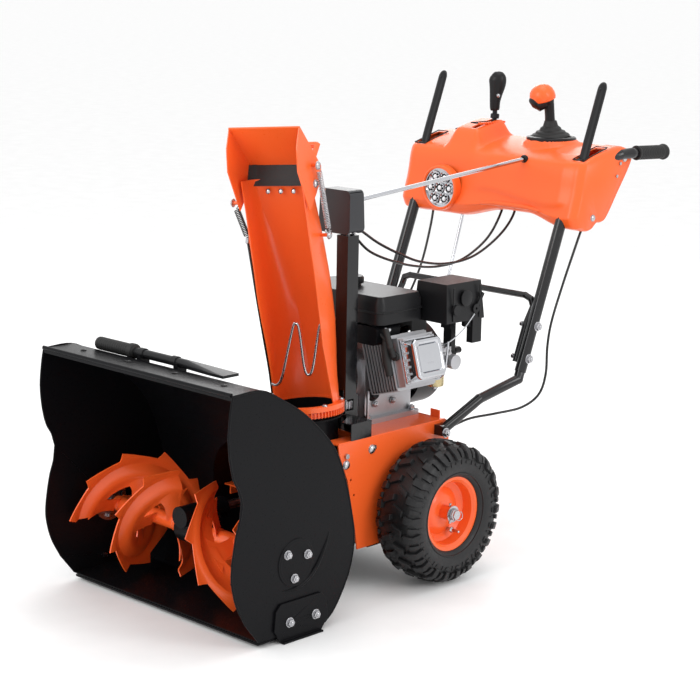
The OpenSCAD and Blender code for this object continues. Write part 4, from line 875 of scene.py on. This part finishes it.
def add_housing_lip():
    """The folded lip along the housing's top edge, and the rivets behind it."""
    lip = Shape()
    lip.tube([mm(x, -690, 553) for x in (-308, -200, 0, 200, 308)], 4.5, 14)
    lip.piece("housing_lip", "black_sheet")
    seams = Shape()
    for x in (-230, -77, 77, 230):
        seams.lathe([(7, 0), (6.6, 1.2), (3, 2.2), (0.5, 2.4)], mm(x, -640, 552.2), (0, 0, 1), 24)
    seams.piece("housing_rivets", "black_sheet")


def add_tool_details():
    """Ribbed handle of the clean out tool and its two clips."""
    handle = Shape()
    profile = [(12.5, 0), (14.2, 1)]
    for k in range(14):
        start = 4 + k * 7.4
        profile += [(13.8, start), (14.8, start + 1.2), (14.8, start + 4.6), (13.8, start + 5.8)]
    profile += [(14.4, 108), (17.2, 110.5), (17.2, 122), (14.8, 126), (10.5, 128)]
    handle.lathe(profile, mm(-237.5, -590, 561), (1, 0, 0), 32)
    handle.piece("tool_handle_ribs", "rubber", "tool_body")
    clips = Shape()
    for x in (-86, 22):
        rows = []
        for dx in (-8, -7, 7, 8):
            radius = 11.4 if abs(dx) == 7 else 10.6
            rows.append([mm(x + dx, -590 + radius * cos(a), 561 + radius * sin(a))
                         for a in [radians(-40 + 13 * k) for k in range(21)]])
        clips.surface(rows)
    clips.piece("tool_clips", "black_plastic", sheet=1.8)


# ---- engine ----


def engine_point(x, y, z):
    """A point in the leaning cylinder's millimetres: x up the cylinder from the crank."""
    turn = radians(-16)
    return mm(x * cos(turn) + z * sin(turn), y, 456 - x * sin(turn) + z * cos(turn))


CYLINDER_AXIS = (engine_point(1, 0, 0) - engine_point(0, 0, 0)).normalized()


def add_fins():
    """Cooling fins of the cylinder and its head, and black slabs in the gaps between them as painted shade.
    """
    fins = Shape()
    for k in range(10):
        x = 92.2 + 9 * k
        fins.slab([engine_point(x, y, z) for y, z in ((-74, -56), (-74, 56), (-66, 64), (50, 64), (57, 56),
                                                      (57, -56), (50, -64), (-66, -64))], CYLINDER_AXIS * 3)
    for k in range(7):
        z = -48 + 16 * k
        fins.slab([engine_point(202, -66, z), engine_point(202, -66, z + 5), engine_point(214, -62, z + 5),
                   engine_point(214, -62, z)], (0, 10, 0))
    fins.piece("cylinder_fins", "cast", edge=0.4)
    # Black slabs filling the gaps between the fins: painted shade where the fins shade each other.
    painted_shade_slabs = Shape()
    for k in range(9):
        x = 96 + 9 * k
        painted_shade_slabs.slab([engine_point(x, y, z) for y, z in ((-70.5, -60.5), (-70.5, 60.5), (54.5, 60.5),
                                                      (54.5, -60.5))], CYLINDER_AXIS * 4.8)
    painted_shade_slabs.piece("fin_painted_shade", "black_sheet")


def add_crankcase_cover():
    """The round cover on the crankcase, with its bosses and ribs."""
    cover = Shape()
    rows = []
    for radius, lift in ((60, 0), (60, 4), (55, 8), (30, 10), (27, 14), (24, 15)):
        rows.append([mm(radius * cos(a), -82 - lift, 452 + 0.9 * radius * sin(a))
                     for a in turns(48)])
    cover.surface(rows, close_ring=True)
    for k in range(9):
        angle = radians(40 * k)
        cover.lathe([(7.5, 0), (7.5, 8), (6, 9.5), (3, 9.5)],
                    mm(66 * cos(angle), -80, 452 + 60 * sin(angle)), (0, -1, 0), 18)
    for x in (-84, -40, 10, 60, 96):
        cover.slab([mm(x, -74, 364), mm(x + 5, -74, 364), mm(x + 5, -74, 430), mm(x, -74, 430)], (0, -6, 0))
    cover.piece("crankcase_cover", "cast", edge=0.8)


def add_engine_bolts():
    """Bolts of the crankcase cover, the cylinder head, the feet and the front."""
    bolts = Shape()
    for k in range(9):
        angle = radians(40 * k)
        bolts.bolt(mm(66 * cos(angle), -89.5, 452 + 60 * sin(angle)), (0, -1, 0), 3.4, washer=False)
    for y in (-56, 38):
        for z in (-44, 44):
            bolts.bolt(engine_point(201, y, z), CYLINDER_AXIS, 4)
    for x, y in ((-80, -70), (92, -70), (92, 80)):
        bolts.bolt(mm(x, y, 362), (0, 0, 1), 4.8)
    for y in (-40, 20):
        bolts.bolt(mm(86, y, 392), (1, 0, 0), 4.2)
    bolts.piece("engine_bolts", "zinc")


def add_valve_cover_face():
    """The bright stepped face of the valve cover."""
    face = Shape()
    rows = []
    for half, x in ((47, 226), (47, 232), (44, 235.5), (39, 236.5), (34, 234), (31, 228.5), (12, 233.6),
                    (1, 234.4)):
        ring = []
        for sy, sz in ((-1, -0.82), (-0.82, -1), (0.82, -1), (1, -0.82), (1, 0.82), (0.82, 1), (-0.82, 1),
                       (-1, 0.82)):
            ring.append(engine_point(x, -8 + sy * half, sz * half * 0.98))
        rows.append(ring)
    face.surface(rows, close_ring=True, cap=True)
    face.piece("valve_cover_face", "chrome", edge=1.2)


def add_oil_plug_and_links():
    """Oil filler plug, head studs, governor links with their spring, and the breather pipe."""
    plug = Shape()
    plug.lathe([(9, 0), (13.5, 1), (13.5, 6), (11.5, 7), (11.5, 19), (9.5, 21.5), (0.5, 22)],
               mm(84, -50, 412), (0.86, -0.3, 0.4), 10)
    plug.piece("oil_plug", "black_plastic", edge=0.8)
    studs = Shape()
    for x in (150, 161):
        studs.tube([mm(x, -78, z) for z in (524, 540, 560, 583)], 2.6, 12)
        studs.lathe([(4.6, 0), (4.6, 4), (3.6, 5.5)], mm(x, -78, 581), (0, 0, 1), 6)
    link = [(219, 150, 600), (212, 120, 566), (196, 96, 540), (176, 84, 526)]
    studs.tube(path(link, 6), 1.6, 8)
    link = [(176, 60, 522), (150, 20, 530), (122, -20, 548), (98, -52, 560)]
    studs.tube(path(link, 6), 1.4, 8)
    spring_low, spring_high = mm(150, 20, 530), mm(122, -20, 548)
    coil(studs, spring_low, spring_high, 3.2, 0.6, 18)
    studs.tube(path(((214, 66, 545), (213, 62, 500), (206, 64, 470), (190, 70, 456)), 6), 2.4, 10)
    studs.piece("engine_links", "chrome")


def add_plug_boot():
    """Rubber boot of the spark plug and its lead."""
    boot = Shape()
    boot.tube([engine_point(172, -76, 58), engine_point(168, -78, 30), engine_point(166, -78, 0),
               engine_point(166, -78, -26)], [8.5, 10.5, 10.5, 8], 18)
    lead = [engine_point(170, -78, 56), mm(152, -82, 560), mm(112, -86, 590), mm(84, -80, 584),
            mm(60, -70, 560)]
    boot.tube(smooth_route(lead, 6), 3.6, 12)
    boot.piece("plug_boot", "rubber")


def add_carburetor_details():
    """Float bowl, flanges, screws and fuel pipe of the carburetor."""
    bowl = Shape()
    bowl.lathe([(6, -6), (20.5, -3), (21.5, 2), (21.5, 20), (22.5, 24), (22.5, 30), (15, 34)],
               mm(154, 90, 431), (0, 0, 1), 36)
    bowl.bolt(mm(154, 90, 426), (0, 0, -1), 3.5, washer=False)
    bowl.piece("carburetor_bowl", "cast", surface=finish("pale_brass", (0.55, 0.46, 0.26), 0.3, metal=0.9,
                                                         spread=0.1, grain=160,
                              bump=0.15))
    body = Shape()
    body.lathe([(14, 0), (17.5, 1), (17.5, 12), (12.5, 13), (12.5, 30), (17.5, 31), (17.5, 44), (13, 45)],
               mm(176, 88, 494), (1, 0, 0), 30)
    for y, z in ((66, 514), (112, 514), (66, 476), (112, 476)):
        body.bolt(mm(176, y, z), (1, 0, 0), 3, washer=False)
    body.tube(path(((196, 88, 512), (202, 84, 522), (204, 70, 528), (200, 58, 522)), 5), 2.2, 10)
    body.piece("carburetor_details", "cast", edge=0.4)


def add_recoil_vents():
    """Two rings of slots in the recoil starter's cover, and its hub."""
    vents = Shape()
    for k in range(14):
        angle = 2 * pi * k / 14
        for near, far in ((34, 50), (56, 74)):
            outline = []
            for radius, swing in ((near, -0.09), (far, -0.03), (far, 0.12), (near, 0.06)):
                outline.append(mm(radius * cos(angle + swing), 203, 456 + radius * sin(angle + swing)))
            vents.slab(outline, (0, 2.2, 0))
    vents.lathe([(22, 0), (21.5, 3), (16, 4.5), (0.5, 5)], mm(0, 203.5, 456), (0, 1, 0), 36)
    vents.piece("recoil_vents", "grey_plastic", edge=0.5)


def add_tank_details():
    """Ribbed fuel cap and the seam round the tank."""
    cap = Shape()
    rows = []
    for radius, z in ((27, 661), (31, 662), (31.4, 666), (31.4, 674), (29, 678.4), (18, 679.4), (6, 679.6)):
        ring = []
        for k in range(96):
            rib = 0.9 if k % 4 < 2 and 661.5 < z < 677 else 0
            angle = 2 * pi * k / 96
            ring.append(mm(-20 + (radius + rib) * cos(angle), -20 + (radius + rib) * sin(angle), z))
        rows.append(ring)
    cap.surface(rows, close_ring=True, cap=True)
    cap.piece("fuel_cap_ribs", "black_plastic", "fuel_cap_body")
    seam = Shape()
    corner = 10
    box = [(-138 + corner, -98), (152 - corner, -98), (152, -98 + corner), (152, 50 - corner),
           (152 - corner, 50), (-138 + corner, 50), (-138, 50 - corner), (-138, -98 + corner)]
    seam.tube([mm(x, y, 620) for x, y in box + box[:1]], 2.2, 8)
    seam.piece("tank_seam", "black_plastic")


def add_heater_box_details():
    """Ribs, dial and choke knob of the heater box."""
    heater = Shape()
    for y in (76, 168):
        heater.slab([mm(216, y, 590), mm(216, y + 5, 590), mm(216, y + 5, 668), mm(216, y, 668)],
                    (2.2, 0, 0))
    heater.lathe([(17, 0), (19, 1), (19, 3), (13, 4.5), (0.5, 5)], mm(216, 122, 640), (1, 0, 0), 32)
    heater.lathe([(12, 0), (12.5, 2), (12.5, 16), (10.5, 18.5), (0.5, 19)], mm(196, 150, 586), (0, 0, -1),
                 12)
    heater.piece("heater_box_details", "black_plastic", edge=0.6)


# ---- frame ----


def add_frame_details():
    """Bolts of the drive frame and of the handles, and the hems of the deck."""
    bolts = Shape()
    for side in (-1, 1):
        for y, z in ((-232, 300), (-150, 322), (-40, 150)):
            bolts.bolt(mm(side * 183, y, z), (side, 0, 0), 5, "round")
        for y, z in ((68, 328), (317, 474), (346, 549)):
            bolts.bolt(mm(side * (212 if y < 100 else 250), y, z), (side, 0, 0), 5.5)
    bolts.piece("drive_frame_bolts", "zinc")
    hems = Shape()
    for side in (-1, 1):
        hems.tube([mm(side * 181.5, y, 350.5) for y in (-256, -160, -60, 40, 98)], 1.9, 10)
    hems.piece("deck_hems", "orange_sheet")


add_camera()
add_studio()
dress_frame()
for side, label in ((1, "left"), (-1, "right")):
    add_tyre(side, "tyre_" + label)
    add_hub(side, "hub_" + label)
    add_auger(side, "auger_" + label)
add_panel()
add_panel_trim()
add_headlight()
add_stick()
add_shift_knob()
add_paddles()
add_grips()
add_cables()
add_guard_wire()
add_deflector_springs()
add_deflector_fittings()
add_hinge_strip()
add_chute_rivets()
add_plate_bolts()
add_plate_pressings()
add_housing_lip()
add_tool_details()
add_fins()
add_crankcase_cover()
add_engine_bolts()
add_valve_cover_face()
add_oil_plug_and_links()
add_plug_boot()
add_carburetor_details()
add_recoil_vents()
add_tank_details()
add_heater_box_details()
add_frame_details()
